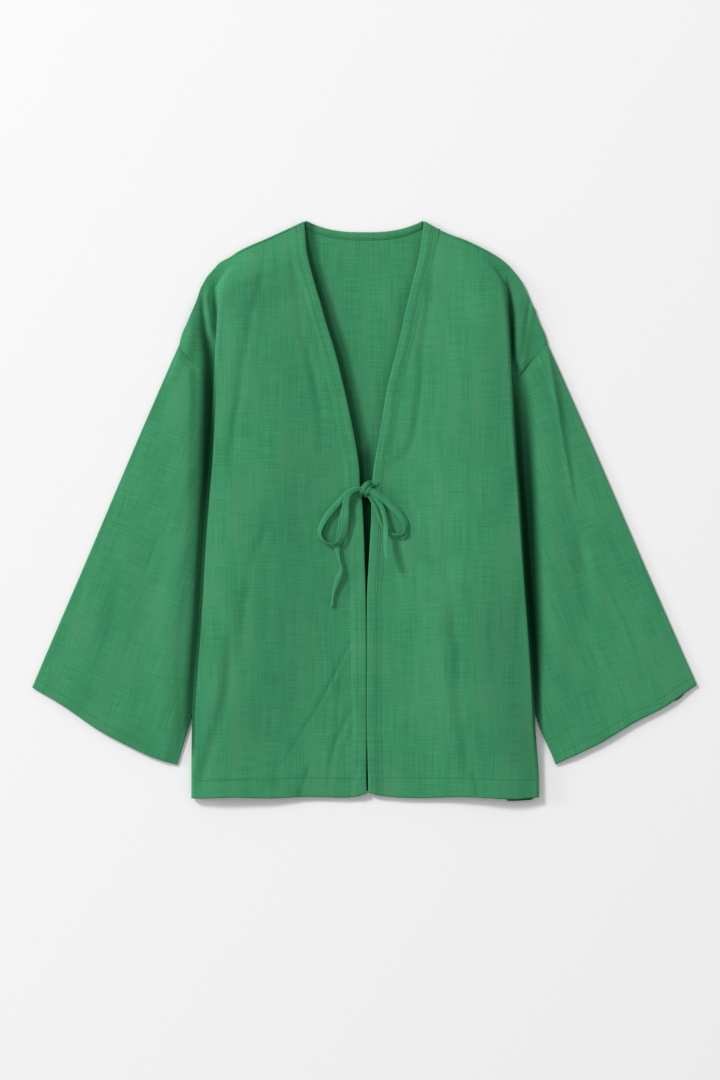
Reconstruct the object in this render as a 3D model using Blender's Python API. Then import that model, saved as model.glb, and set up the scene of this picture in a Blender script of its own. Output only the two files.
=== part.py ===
"""Kimono jacket laid flat, face up, its sides folded under and its fronts tied with a bow.

X runs across the jacket, Y from the hem to the neck, Z up from the surface that it lies on.
The back and the fronts lie on each other as two plies. Both follow one fold line, which goes out to the
fold at the side, in beneath it and, above the armpit, out again to the armhole.
"""
import math

import bpy
import bmesh
import numpy as np
from mathutils import Vector

MM = 0.001

# Cloth
WALL = 1.5
SEAM_GAP = 0.3
PLY = WALL + SEAM_GAP
ARMHOLE_GAP = 0.45
BAND_WALL = 1.2
TIE_WIDTH = 9.0
TIE_WALL = 1.2

# Heights of the fold line above the surface
FLOOR = WALL + SEAM_GAP / 2
TUCK_RISE = 6.2
SIDE_RISE = 6.8

# How far the upper layers stand off the lower ones, and how that grows from the side fold and the shoulder
FRONT_LOFT = 3.4
SHOULDER_LOFT = 0.12
LOFT_FROM_FOLD = 40.0
LOFT_FROM_SHOULDER = 45.0
SLEEVE_LOFT = 3.2
COVERED_LOFT = 1.5
COVERED_MARGIN = 16.0

BAND_WIDTH = 14.0
HEM_Y = -359.4
NECK_DIP_Y = 345.0
NECK_RISE = 15.0
NECK_CURVE = 2.7
NECK_HALF = 74.0
NECK_BAND_HALF = 64.0
NECK_BAND_DEPTHS = (0.6, 6.5, 12.5)
NECK_STEPS = 12
EDGE_TOP_Y = 359.4
ROW_TOP_Y = 303.0
FOLD_TOP_X = 176.0

CLOTH_COLOUR = (0.052, 0.254, 0.115, 1.0)
CLOTH_ROUGHNESS = 0.9

# Where the two plies share their columns, as shares of the stretch that slopes down from the side fold
SHARED = (1.0, 0.87, 0.74, 0.61, 0.48, 0.36, 0.24, 0.12, 0.0)
SLOPE_START = 6.0
SLOPE_WIDTH = 55.0
TURN_STEPS = 4
STRIP_STEPS = 2
UNDER_STEPS = 4
# Share of a half circle's length that a shallow turn keeps
SOFT_START = 0.8

# One row for each level of a side, in millimetres and degrees: height at the side fold and at the end of the
# tuck, how far the cloth turns over at the fold, how much of its height it has there, the depth of the tuck,
# and the tuck's height above the surface
LEVEL_COLUMNS = ("fold_y", "end_y", "turn", "lifted", "tuck", "rise")
LEVELS = (
    (303.0, 277.0, 0, 0.0, 6.0, 1.0),
    (289.0, 266.0, 24, 0.4, 7.0, 1.0),
    (275.0, 255.0, 52, 0.8, 7.5, 1.0),
    (261.0, 245.0, 85, 1.0, 8.0, 1.0),
    (243.0, 232.0, 135, 1.0, 10.0, 1.0),
    (225.0, 218.0, 180, 1.0, 12.0, 1.0),
    (205.6, 205.6, 180, 1.0, 25.0, 1.0),
    (190.0, 190.0, 180, 1.0, 33.0, 1.0),
    (174.0, 174.0, 180, 1.0, 40.0, 1.0),
    (146.0, 146.0, 180, 1.0, 49.0, 1.0),
    (118.0, 118.0, 180, 1.0, 57.0, 1.0),
    (90.0, 90.0, 180, 1.0, 65.0, 1.0),
    (64.4, 64.4, 180, 1.0, 71.0, 1.0),
    (20.0, 20.0, 180, 1.0, 68.0, 1.0),
    (-35.0, -35.0, 180, 1.0, 65.0, 1.0),
    (-90.0, -90.0, 180, 1.0, 61.0, 1.0),
    (-145.0, -145.0, 180, 1.0, 57.0, 1.0),
    (-200.0, -200.0, 180, 1.0, 53.0, 1.0),
    (-240.0, -240.0, 180, 1.0, 49.0, 1.0),
    (-268.0, -268.0, 180, 1.0, 46.0, 0.8),
    (-300.0, -300.0, 180, 1.0, 44.0, 0.3),
    (-330.0, -330.0, 180, 1.0, 42.0, 0.1),
    (HEM_Y, HEM_Y, 180, 1.0, 41.0, 0.1),
)
ARMHOLE_TOP_ROW = 6
ARMPIT_ROW = 12

# Edges of each side by height, in millimetres from the middle: the front's own edge and the side fold
EDGE_COLUMNS = ("y", "left_edge", "right_edge", "left_fold", "right_fold")
EDGES = (
    (360.0, -75.6, 73.4, -184.0, 173.0),
    (323.0, -73.6, 66.9, -184.0, 173.0),
    (290.0, -67.0, 56.9, -184.0, 174.0),
    (252.0, -56.9, 48.3, -182.0, 176.3),
    (209.0, -43.1, 39.3, -184.0, 179.2),
    (158.0, -28.1, 28.0, -186.5, 182.4),
    (75.0, -10.6, 15.0, -190.8, 188.6),
    (33.0, -5.6, 9.4, -194.0, 191.5),
    (11.0, -2.5, 8.1, -196.5, 194.4),
    (-50.0, 0.0, 6.0, -200.6, 198.1),
    (-113.0, 1.6, 3.2, -204.0, 203.1),
    (-176.0, 2.0, 3.2, -208.5, 207.5),
    (-238.0, 2.2, 3.3, -212.5, 210.6),
    (-282.0, 2.4, 3.5, -213.8, 212.0),
    (-319.0, 2.6, 3.8, -214.4, 215.6),
    (HEM_Y, 2.8, 4.6, -214.4, 216.3),
)

# Shoulder and armhole by height: where the tuck comes out again and ends
END_COLUMNS = ("y", "left_end", "right_end")
ENDS = (
    (277.0, -204.4, 199.4),
    (262.0, -209.4, 206.9),
    (237.0, -219.4, 216.9),
    (205.6, -230.4, 228.0),
    (190.0, -221.0, 212.5),
    (174.0, -203.0, 198.5),
    (146.0, -181.0, 182.5),
    (118.0, -161.0, 163.0),
    (90.0, -141.5, 142.0),
    (64.4, -126.0, 123.5),
)

# Shoulder line by distance from the middle
SHOULDER_COLUMNS = ("x", "left_y", "right_y")
SHOULDER = (
    (74.0, 360.3, 360.3),
    (104.0, 346.5, 344.4),
    (124.0, 337.2, 336.9),
    (142.0, 329.4, 328.5),
    (156.0, 322.4, 321.2),
    (168.0, 314.4, 313.8),
    (180.0, 307.9, 304.6),
    (188.0, 300.2, 295.6),
    (196.0, 291.4, 284.8),
    (204.4, 277.0, 270.0),
)

# Sleeve from armhole to cuff: share of its length, and how far its two edges bow from straight lines
SLEEVE_COLUMNS = ("along", "outer_bow", "inner_bow", "loft")
SLEEVE_ROWS = (
    (0.0, 0.0, 0.0, 0.0),
    (0.06, 0.3, 0.0, 0.35),
    (0.16, 0.6, 0.5, 0.8),
    (0.28, 0.8, 1.5, 1.0),
    (0.41, 0.6, 2.5, 1.0),
    (0.54, 0.2, 3.0, 1.0),
    (0.67, 0.0, 2.5, 1.0),
    (0.80, 0.0, 1.5, 1.0),
    (0.92, 0.0, 0.5, 0.9),
    (1.0, 0.0, 0.0, 0.8),
)
# Across the sleeve from its outer fold to the underarm: share of the width and share of the loft
SLEEVE_ACROSS = ((0.0, 0.0), (0.12, 0.8), (0.30, 0.7), (0.50, 0.8), (0.70, 1.0), (0.88, 0.9), (1.0, 0.1))
# Cuff from its outer corner to its inner corner
CUFF_COLUMNS = ("across", "left_x", "left_y", "right_x", "right_y")
CUFF = (
    (0.0, -414.4, -221.9, 414.4, -220.6),
    (0.29, -360.6, -255.6, 370.0, -248.5),
    (0.58, -308.1, -289.4, 317.0, -278.0),
    (0.86, -255.6, -311.9, 268.0, -305.5),
    (1.0, -235.6, -319.4, 240.0, -317.5),
)

# Bow: each stretch of tie as a route of centre points in millimetres, with the turn of its width about it
TIE_COLUMNS = ("x", "y", "z", "turn")
TAIL_TAPER = 0.3
TIE_LOOP_LEFT = (
    (-3.95, 24.6, 15.4, 58),
    (-9.5, 25.3, 15.8, 50),
    (-17.0, 25.5, 15.5, 35),
    (-28.0, 17.0, 13.5, 12),
    (-41.0, 2.0, 12.0, 0),
    (-52.0, -13.0, 11.5, 0),
    (-56.0, -27.0, 12.5, 15),
    (-49.5, -40.0, 13.5, 40),
    (-38.5, -45.0, 13.8, 55),
    (-28.0, -37.5, 14.2, 40),
    (-20.5, -22.0, 14.6, 10),
    (-19.0, -2.0, 15.0, 0),
    (-19.3, 10.0, 15.6, 0),
)
TIE_TAIL_LEFT = (
    (-4.6, 20.8, 10.6, 0),
    (-8.4, 15.5, 9.6, 0),
    (-14.5, 4.0, 9.3, 0),
    (-20.0, -9.0, 9.1, 0),
    (-25.5, -25.0, 8.5, 0),
    (-30.5, -42.0, 8.3, 0),
    (-33.5, -56.0, 8.4, 0),
    (-32.5, -68.0, 9.0, 15),
    (-30.0, -79.0, 10.6, 40),
    (-32.5, -90.0, 10.2, 25),
    (-37.5, -102.0, 8.6, 0),
    (-41.5, -122.0, 8.2, 0),
)
TIE_LOOP_RIGHT = (
    (8.75, 24.8, 15.8, -50),
    (13.5, 22.6, 16.8, -35),
    (20.0, 18.0, 17.2, -12),
    (38.0, 4.0, 16.0, 0),
    (51.0, -11.0, 14.6, 0),
    (56.5, -25.0, 13.6, -20),
    (49.0, -35.5, 13.2, -45),
    (38.0, -36.8, 12.8, -60),
    (29.5, -30.5, 12.6, -35),
)
TIE_RETURN_RIGHT = (
    (4.7, 16.2, 11.6, 0),
    (6.8, 13.6, 11.3, 0),
    (10.5, 6.0, 10.9, 0),
    (15.0, -5.0, 10.6, 0),
    (20.5, -15.0, 10.4, 0),
    (24.0, -23.0, 10.4, 0),
)
TIE_TAIL_RIGHT = (
    (8.4, 20.0, 13.9, 0),
    (13.0, 14.5, 13.9, 0),
    (18.0, 3.0, 13.9, 0),
    (22.0, -11.0, 15.2, 0),
    (24.3, -28.0, 19.0, 15),
    (25.5, -45.0, 23.5, 35),
    (27.2, -62.0, 28.0, 60),
)
TIE_ROOT_LEFT = (
    (-17.0, 35.5, 9.1, 0),
    (-11.0, 32.6, 9.2, 0),
    (-3.8, 27.7, 10.6, 0),
)
TIE_ROOT_RIGHT = (
    (22.0, 38.0, 9.1, 0),
    (15.5, 34.6, 9.2, 0),
    (7.9, 28.7, 11.0, 0),
)
KNOT_CENTRE = (2.4, 24.6)
KNOT_SIZE = (12.5, 15.5, 8.5)
KNOT_BOTTOM = 9.0
KNOT_SIDES = 12
# Share of the knot's height and of its width at each ring
KNOT_RINGS = ((0.0, 0.72), (0.3, 1.0), (0.7, 0.96), (1.0, 0.55))


def clearScene():
    for item in list(bpy.data.objects):
        bpy.data.objects.remove(item, do_unlink=True)


def columns(names, rows):
    """Return a dictionary with one array for each named column of a table."""
    return {name: np.array([row[i] for row in rows], dtype=float) for i, name in enumerate(names)}


def lookUp(table, key, name, value):
    """Read a column of a table at a value of its key column, which may rise or fall."""
    keys = table[key]
    order = np.argsort(keys)
    return float(np.interp(value, keys[order], table[name][order]))


def smooth(value):
    """Ease from 0 to 1."""
    value = min(max(value, 0.0), 1.0)
    return value * value * (3.0 - 2.0 * value)


levels = columns(LEVEL_COLUMNS, LEVELS)
edges = columns(EDGE_COLUMNS, EDGES)
ends = columns(END_COLUMNS, ENDS)
shoulder = columns(SHOULDER_COLUMNS, SHOULDER)
sleeveRows = columns(SLEEVE_COLUMNS, SLEEVE_ROWS)
cuff = columns(CUFF_COLUMNS, CUFF)
sideNames = {-1: "left", 1: "right"}

def topLine(x, side):
    """Height of the neckline or the shoulder above a point of the top edge."""
    if abs(x) < NECK_HALF:
        return NECK_DIP_Y + NECK_RISE * (abs(x) / NECK_HALF) ** NECK_CURVE
    return lookUp(shoulder, "x", sideNames[side] + "_y", abs(x))


def levelDown(row):
    """How far down the jacket a level lies, from 0 at the top edge to 1 at the hem."""
    return (ROW_TOP_Y - levels["fold_y"][row]) / (ROW_TOP_Y - HEM_Y)


def foldX(row, side):
    """Where a level crosses the side fold, seen from above."""
    top = topLine(FOLD_TOP_X, side)
    return lookUp(edges, "y", sideNames[side] + "_fold", top + (HEM_Y - top) * levelDown(row))


def turnSizes(row):
    """Angle and radii of the two turns of a level, and the height between the side fold and the surface.

    A shallow turn is wider, so that the cloth bends softly where the fold begins.
    """
    turn = math.radians(levels["turn"][row])
    wider = max(1.0, SOFT_START * math.pi / turn) if turn else 1.0
    rise = levels["rise"][row] * TUCK_RISE
    drop = (SIDE_RISE + rise) * levels["lifted"][row]
    return turn, SIDE_RISE / 2 * wider, rise / 2 * wider, drop


def mainHeight(row, inward):
    """Height of the fold line in a level at a distance inward from the side fold."""
    high = levels["rise"][row] * TUCK_RISE + SIDE_RISE
    fall = smooth((inward - levels["tuck"][row] - SLOPE_START) / SLOPE_WIDTH)
    return FLOOR + levels["lifted"][row] * high * (1.0 - fall)


def mainPoints(row, side, ply):
    """Fold line from the middle, or from a front's own edge, to the side fold."""
    down = levelDown(row)
    fold = foldX(row, side)
    reach = levels["tuck"][row] + SLOPE_START + SLOPE_WIDTH
    start = fold - side * turnSizes(row)[1]
    inner = start - side * reach
    if ply > 0:
        edgeY = EDGE_TOP_Y + (HEM_Y - EDGE_TOP_Y) * down
        edge = lookUp(edges, "y", sideNames[side] + "_edge", edgeY)
        xs = [edge, edge + side * BAND_WIDTH / 2, edge + side * BAND_WIDTH]
        xs.append((xs[-1] + inner) / 2)
    else:
        xs = [inner * share for share in (0.0, 0.35, 0.7)]
    xs += [start - side * reach * share for share in SHARED]
    points = []
    for x in xs:
        top = topLine(x, side)
        points.append((x, top + (HEM_Y - top) * down, mainHeight(row, abs(fold - x))))
    return points


def foldPoints(row, side):
    """Fold line over the side fold, in along the tuck and out again to the shoulder or the armhole."""
    endY = levels["end_y"][row]
    fold = foldX(row, side)
    turn, outTurn, inTurn, drop = turnSizes(row)
    top = topLine(fold - side * outTurn, side)
    startY = top + (HEM_Y - top) * levelDown(row)
    strip = levels["tuck"][row] - outTurn
    if 0.0 < turn < math.pi:
        strip = (drop - (outTurn + inTurn) * (1.0 - math.cos(turn))) / math.sin(turn)
    path = []
    out, z = -outTurn, FLOOR + drop
    heading = 0.0
    runs = ((TURN_STEPS, outTurn, turn), (STRIP_STEPS, strip, 0.0), (TURN_STEPS, inTurn, -turn))
    for steps, size, bend in runs if row <= ARMPIT_ROW else runs[:2]:
        for step in range(steps):
            after = heading + bend / steps
            if bend:
                radius = math.copysign(size, bend)
                out += radius * (math.sin(after) - math.sin(heading))
                z += radius * (math.cos(after) - math.cos(heading))
            else:
                out += size / steps * math.cos(heading)
                z -= size / steps * math.sin(heading)
            heading = after
            path.append((out, z))
    if row <= ARMPIT_ROW:
        reach = side * (lookUp(ends, "y", sideNames[side] + "_end", endY) - fold)
        path += [(out + (reach - out) * step / UNDER_STEPS, FLOOR) for step in range(1, UNDER_STEPS + 1)]
    if not turn:
        path = [(-outTurn + (reach + outTurn) * step / len(path), FLOOR) for step in range(1, len(path) + 1)]
    points = []
    for step, (out, z) in enumerate(path, 1):
        x = fold + side * out
        y = topLine(x, side) if row == 0 else startY + (endY - startY) * step / len(path)
        points.append((x, y, z))
    return points


def gridNormals(grid):
    """Unit normals of a grid of points, from the lines through each point's neighbours."""
    normals = {}
    for (r, c), point in grid.items():
        across = Vector(grid.get((r, c + 1), point)) - Vector(grid.get((r, c - 1), point))
        down = Vector(grid.get((r + 1, c), point)) - Vector(grid.get((r - 1, c), point))
        normals[r, c] = down.cross(across).normalized()
    return normals


def makeWall(name, grid, bottom, top):
    """Close a wall between two offsets from a grid of points, keyed by row and column."""
    normals = gridNormals(grid)
    build = bmesh.new()
    low = {key: build.verts.new((Vector(grid[key]) + normals[key] * bottom) * MM) for key in grid}
    high = {key: build.verts.new((Vector(grid[key]) + normals[key] * top) * MM) for key in grid}
    cells = [(r, c) for r, c in grid if {(r, c + 1), (r + 1, c), (r + 1, c + 1)} <= grid.keys()]
    for r, c in cells:
        corners = ((r, c), (r, c + 1), (r + 1, c + 1), (r + 1, c))
        for half in ((0, 1, 2), (0, 2, 3)):
            build.faces.new([high[corners[index]] for index in half])
            build.faces.new([low[corners[index]] for index in reversed(half)])
        for index, beside in enumerate(((r - 1, c), (r, c + 1), (r + 1, c), (r, c - 1))):
            if beside not in cells:
                near, far = corners[index], corners[(index + 1) % 4]
                build.faces.new((high[far], high[near], low[near], low[far]))
    return finishPiece(name, build)


def finishPiece(name, build):
    bmesh.ops.recalc_face_normals(build, faces=build.faces)
    mesh = bpy.data.meshes.new(name)
    build.to_mesh(mesh)
    build.free()
    for face in mesh.polygons:
        face.use_smooth = True
    mesh.materials.append(clothMaterial(name))
    piece = bpy.data.objects.new(name, mesh)
    bpy.context.collection.objects.link(piece)
    return piece


def clothMaterial(name):
    material = bpy.data.materials.new(name + "_cloth")
    material.use_nodes = True
    shader = material.node_tree.nodes["Principled BSDF"]
    shader.inputs["Base Color"].default_value = CLOTH_COLOUR
    shader.inputs["Roughness"].default_value = CLOTH_ROUGHNESS
    shader.inputs["Metallic"].default_value = 0.0
    return material


def frontLoft(row, inward):
    """How far a front stands off the back beyond the seam gap."""
    away = smooth(inward / LOFT_FROM_FOLD)
    down = smooth((ROW_TOP_Y - levels["fold_y"][row]) / LOFT_FROM_SHOULDER)
    return FRONT_LOFT * away * (SHOULDER_LOFT + (1.0 - SHOULDER_LOFT) * down)


def panelGrid(side, ply, limit=None):
    """Points of one ply on one side, keyed by row and column, with columns counted from the middle."""
    grid = {}
    for row in range(len(LEVELS)):
        line = mainPoints(row, side, ply)
        if ply > 0:
            fold = foldX(row, side)
            line = [(x, y, z + frontLoft(row, abs(fold - x))) for x, y, z in line]
        line += foldPoints(row, side)
        for column, point in enumerate(line[:limit]):
            grid[row, side * column] = point
    return grid


def makeBack():
    grid = panelGrid(-1, -1)
    grid.update(panelGrid(1, -1))
    makeWall("back", grid, -PLY / 2 - WALL / 2, -PLY / 2 + WALL / 2)


def makeFront(side):
    makeWall("front_" + sideNames[side], panelGrid(side, 1), PLY / 2 - WALL / 2, PLY / 2 + WALL / 2)


def makeBand(side):
    """Band on a front's own edge, made from the front's points and moved out."""
    base = PLY / 2 + WALL / 2 + SEAM_GAP
    makeWall("band_" + sideNames[side], panelGrid(side, 1, limit=3), base, base + BAND_WALL)


def makeNeckBand():
    """Band inside the back neck, made from the back's neckline and moved up."""
    base = -PLY / 2 + WALL / 2 + SEAM_GAP
    grid = {}
    for row, depth in enumerate(NECK_BAND_DEPTHS):
        for column in range(NECK_STEPS + 1):
            x = NECK_BAND_HALF * (2.0 * column / NECK_STEPS - 1.0)
            grid[row, column] = (x, topLine(x, 1) - depth, FLOOR)
    makeWall("band_back_neck", grid, base, base + BAND_WALL)


def armholePoints(side):
    """Points of the armhole, from the shoulder down to the armpit, as the body's rows end there."""
    points = []
    for row in range(ARMHOLE_TOP_ROW, ARMPIT_ROW + 1):
        endY = levels["end_y"][row]
        points.append((lookUp(ends, "y", sideNames[side] + "_end", endY), endY))
    return points


def sleevePoints(side):
    """Rows of points from armhole to cuff, each from outer fold to underarm, with the loft as height."""
    name = sideNames[side]
    seam = armholePoints(side)
    length = math.dist(seam[0], seam[-1])
    gapX = side * (seam[0][1] - seam[-1][1]) / length * ARMHOLE_GAP
    gapY = -abs(seam[0][0] - seam[-1][0]) / length * ARMHOLE_GAP
    rows = []
    for row, along in enumerate(sleeveRows["along"]):
        line = []
        for (seamX, seamY), (across, share) in zip(seam, SLEEVE_ACROSS):
            cuffX = lookUp(cuff, "across", name + "_x", across)
            cuffY = lookUp(cuff, "across", name + "_y", across)
            bow = sleeveRows["outer_bow"][row] * (1.0 - across) - sleeveRows["inner_bow"][row] * across
            x = (seamX + gapX) * (1.0 - along) + cuffX * along + side * bow
            y = (seamY + gapY) * (1.0 - along) + cuffY * along
            loft = SLEEVE_LOFT * share * sleeveRows["loft"][row]
            if abs(x) < abs(lookUp(edges, "y", name + "_fold", y)) + COVERED_MARGIN:
                loft = min(loft, COVERED_LOFT * sleeveRows["loft"][row])
            line.append((x, y, loft))
        rows.append(line)
    return rows


def makeSleeve(side):
    """Sleeve as a flat tube, open at the armhole and at the cuff."""
    build = bmesh.new()
    loops = []
    for line in sleevePoints(side):
        inward = (Vector(line[-1][:2]) - Vector(line[0][:2])).normalized() * WALL
        insets = [inward.to_3d()] + [Vector((0.0, 0.0, 0.0))] * (len(line) - 2) + [-inward.to_3d()]
        outer = [Vector((x, y, PLY + WALL + loft)) for x, y, loft in line]
        outer += [Vector((x, y, 0.0)) for x, y, loft in reversed(line)]
        upper = [Vector((x, y, PLY + loft)) + inset for (x, y, loft), inset in zip(line, insets)]
        lower = [Vector((x, y, WALL)) + inset for (x, y, loft), inset in zip(line, insets)]
        inner = upper + lower[::-1]
        loops.append([[build.verts.new(point * MM) for point in ring] for ring in (outer, inner)])
    size = len(loops[0][0])
    for near, far in zip(loops, loops[1:]):
        for index in range(size):
            after = (index + 1) % size
            for first, second in zip(near, far):
                build.faces.new((first[index], first[after], second[after], second[index]))
    for outer, inner in (loops[0], loops[-1]):
        for index in range(size):
            after = (index + 1) % size
            build.faces.new((outer[index], outer[after], inner[after], inner[index]))
    return finishPiece("sleeve_" + sideNames[side], build)


def makeTie(name, route, taper=1.0):
    """A flat strip along a route. Each row of the route turns the strip's width about the route."""
    rows = columns(TIE_COLUMNS, route)
    points = [Vector(point) for point in zip(rows["x"], rows["y"], rows["z"])]
    build = bmesh.new()
    sections = []
    for index, point in enumerate(points):
        before = points[max(index - 1, 0)]
        after = points[min(index + 1, len(points) - 1)]
        tangent = (after - before).normalized()
        level = Vector((0.0, 0.0, 1.0)).cross(tangent).normalized()
        rise = tangent.cross(level)
        turn = math.radians(rows["turn"][index])
        width = level * math.cos(turn) + rise * math.sin(turn)
        thick = tangent.cross(width)
        share = taper if index == len(points) - 1 else 1.0
        half = width * TIE_WIDTH / 2 * share
        rim = thick * TIE_WALL / 2
        corners = (point - half - rim, point + half - rim, point + half + rim, point - half + rim)
        sections.append([build.verts.new(corner * MM) for corner in corners])
    for near, far in zip(sections, sections[1:]):
        for index in range(4):
            after = (index + 1) % 4
            corners = (near[index], near[after], far[after], far[index])
            split = ((0, 1, 2), (0, 2, 3)) if index < 2 else ((0, 1, 3), (1, 2, 3))
            for half in split:
                build.faces.new([corners[corner] for corner in half])
    build.faces.new(sections[0])
    build.faces.new(sections[-1])
    return finishPiece(name, build)


def makeKnot():
    """The knot as a rounded lump, narrower at its foot."""
    build = bmesh.new()
    rings = []
    for lift, spread in KNOT_RINGS:
        ring = []
        for step in range(KNOT_SIDES):
            angle = 2.0 * math.pi * step / KNOT_SIDES
            x = KNOT_CENTRE[0] + KNOT_SIZE[0] / 2 * spread * math.cos(angle)
            y = KNOT_CENTRE[1] + KNOT_SIZE[1] / 2 * spread * math.sin(angle)
            ring.append(build.verts.new(Vector((x, y, KNOT_BOTTOM + KNOT_SIZE[2] * lift)) * MM))
        rings.append(ring)
    for near, far in zip(rings, rings[1:]):
        for index in range(KNOT_SIDES):
            after = (index + 1) % KNOT_SIDES
            build.faces.new((near[index], near[after], far[after], far[index]))
    build.faces.new(rings[0])
    build.faces.new(rings[-1])
    return finishPiece("tie_knot", build)


def main():
    clearScene()
    makeBack()
    for side in (-1, 1):
        makeFront(side)
        makeBand(side)
        makeSleeve(side)
    makeNeckBand()
    makeKnot()
    makeTie("tie_loop_left", TIE_LOOP_LEFT)
    makeTie("tie_tail_left", TIE_TAIL_LEFT)
    makeTie("tie_loop_right", TIE_LOOP_RIGHT)
    makeTie("tie_return_right", TIE_RETURN_RIGHT)
    makeTie("tie_tail_right", TIE_TAIL_RIGHT, taper=TAIL_TAPER)
    makeTie("tie_root_left", TIE_ROOT_LEFT)
    makeTie("tie_root_right", TIE_ROOT_RIGHT)


main()
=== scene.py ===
# Kimono jacket laid flat and face up, its sides folded under and its fronts tied with a bow.
# Sizes are in millimetres unless a name says otherwise; X runs across, Y from hem to neck, Z up.
import math
import bpy
import numpy as np
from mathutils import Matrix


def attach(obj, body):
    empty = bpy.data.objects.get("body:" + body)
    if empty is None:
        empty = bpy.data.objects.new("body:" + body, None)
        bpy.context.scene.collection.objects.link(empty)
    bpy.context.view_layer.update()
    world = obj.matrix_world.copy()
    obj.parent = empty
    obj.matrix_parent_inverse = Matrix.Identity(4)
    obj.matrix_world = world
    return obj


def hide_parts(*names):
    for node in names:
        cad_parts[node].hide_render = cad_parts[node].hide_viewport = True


mm = 0.001
sideNames = {-1: "left", 1: "right"}

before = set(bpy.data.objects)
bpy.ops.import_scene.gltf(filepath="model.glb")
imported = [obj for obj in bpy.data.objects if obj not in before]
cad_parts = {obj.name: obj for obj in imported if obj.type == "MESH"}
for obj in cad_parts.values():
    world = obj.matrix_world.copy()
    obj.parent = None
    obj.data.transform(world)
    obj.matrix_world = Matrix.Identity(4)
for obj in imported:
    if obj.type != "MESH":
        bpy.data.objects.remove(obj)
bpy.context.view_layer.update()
bpy.ops.object.select_all(action="DESELECT")
print("frame loaded")


# Tables and smooth curves

def columns(text):
    # A table as text: a line of names, then a line of numbers for each row
    names, *rows = text.strip().splitlines()
    return dict(zip(names.split(), np.array([row.split() for row in rows], dtype=float).T))


def smoothRead(keys, values, at):
    # Monotone cubic through a table, whose keys may rise or fall
    keys = np.asarray(keys, dtype=float)
    values = np.asarray(values, dtype=float)
    if keys[0] > keys[-1]:
        keys, values = keys[::-1], values[::-1]
    at = np.clip(np.asarray(at, dtype=float), keys[0], keys[-1])
    extra = (1,) * (values.ndim - 1)
    step = np.diff(keys).reshape((-1,) + extra)
    rise = np.diff(values, axis=0) / step
    slope = np.zeros_like(values)
    slope[0], slope[-1] = rise[0], rise[-1]
    if len(keys) > 2:
        before, after = rise[:-1], rise[1:]
        same = before * after > 0
        total = np.where(same, before + after, 1.0)
        slope[1:-1] = np.where(same, 2.0 * before * after / total, 0.0)
    cell = np.clip(np.searchsorted(keys, at, side="right") - 1, 0, len(keys) - 2)
    width = np.diff(keys)[cell]
    part = ((at - keys[cell]) / width).reshape(at.shape + extra)
    width = width.reshape(at.shape + extra)
    return (
        values[cell] * (1 + 2 * part) * (1 - part) ** 2
        + values[cell + 1] * part ** 2 * (3 - 2 * part)
        + slope[cell] * width * part * (1 - part) ** 2
        - slope[cell + 1] * width * part ** 2 * (1 - part)
    )


def lookUp(table, name, at):
    # One column of a table, read along its first column
    return smoothRead(next(iter(table.values())), table[name], at)


def runAlong(points):
    # Length from the first point to each one
    return np.concatenate([[0], np.cumsum(np.linalg.norm(np.diff(points, axis=0), axis=1))])


def throughPoints(points, spacing):
    # Smooth open curve through points, resampled at an even spacing
    points = np.asarray(points, dtype=float)
    padded = np.vstack([2 * points[0] - points[1], points, 2 * points[-1] - points[-2]])
    fine = []
    for index in range(1, len(padded) - 2):
        a, b, c, d = padded[index - 1:index + 3]
        for part in np.linspace(0, 1, 12, endpoint=False):
            fine.append(0.5 * (2 * b + (c - a) * part + (2 * a - 5 * b + 4 * c - d) * part ** 2
                               + (3 * b - a - 3 * c + d) * part ** 3))
    fine = np.array(fine + [points[-1]])
    run = runAlong(fine[:, :3])
    even = np.linspace(0, run[-1], max(int(round(run[-1] / spacing)), 2) + 1)
    return np.stack([np.interp(even, run, column) for column in fine.T], axis=1)


view = dict(middle=(364.5, 509.5), step=1.25)


def px(text, wide=2):
    # Places read off the front view, whose y runs down, at 1.25 mm a step; further columns stay as they are
    rows = np.array(text.split(), dtype=float).reshape(-1, wide)
    rows[:, :2] = (rows[:, :2] - view["middle"]) * (view["step"], -view["step"])
    return rows


def ease(value):
    value = np.clip(value, 0.0, 1.0)
    return value * value * (3.0 - 2.0 * value)


def fade(value, start, wide):
    # From 0 at the start to 1 past it; a width below zero goes the other way
    return ease((value - start) / wide)


def bell(value, wide):
    return np.exp(-(value / wide) ** 2)


def unit(vectors):
    return vectors / np.linalg.norm(vectors, axis=-1, keepdims=True)


def nearest(values, target):
    return int(np.argmin(np.abs(values - target)))


waves = dict(count=9, shortest=0.6, longest=1.7, calm=4.5)


def wander(x, y, size, seed):
    # Gentle uneven waves from -1 to 1, the same on each run
    rng = np.random.default_rng(seed)
    ranges = ((0, math.pi), (0, 2 * math.pi), (waves["shortest"], waves["longest"]))
    total = np.zeros(np.broadcast(x, y).shape)
    for turn, phase, stretch in zip(*[rng.uniform(low, high, waves["count"]) for low, high in ranges]):
        total = total + np.sin((x * math.cos(turn) + y * math.sin(turn)) * 2 * math.pi / (size * stretch) + phase)
    return total / waves["calm"]


# Shader maths: operators on a Wire add Math nodes

class Wire:
    def __init__(self, maker, socket):
        self.maker, self.socket = maker, socket

    def __add__(self, other):
        return self.maker.maths("ADD", self, other)

    def __sub__(self, other):
        return self.maker.maths("SUBTRACT", self, other)

    def __rsub__(self, other):
        return self.maker.maths("SUBTRACT", other, self)

    def __mul__(self, other):
        return self.maker.maths("MULTIPLY", self, other)

    __radd__ = __add__
    __rmul__ = __mul__


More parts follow.
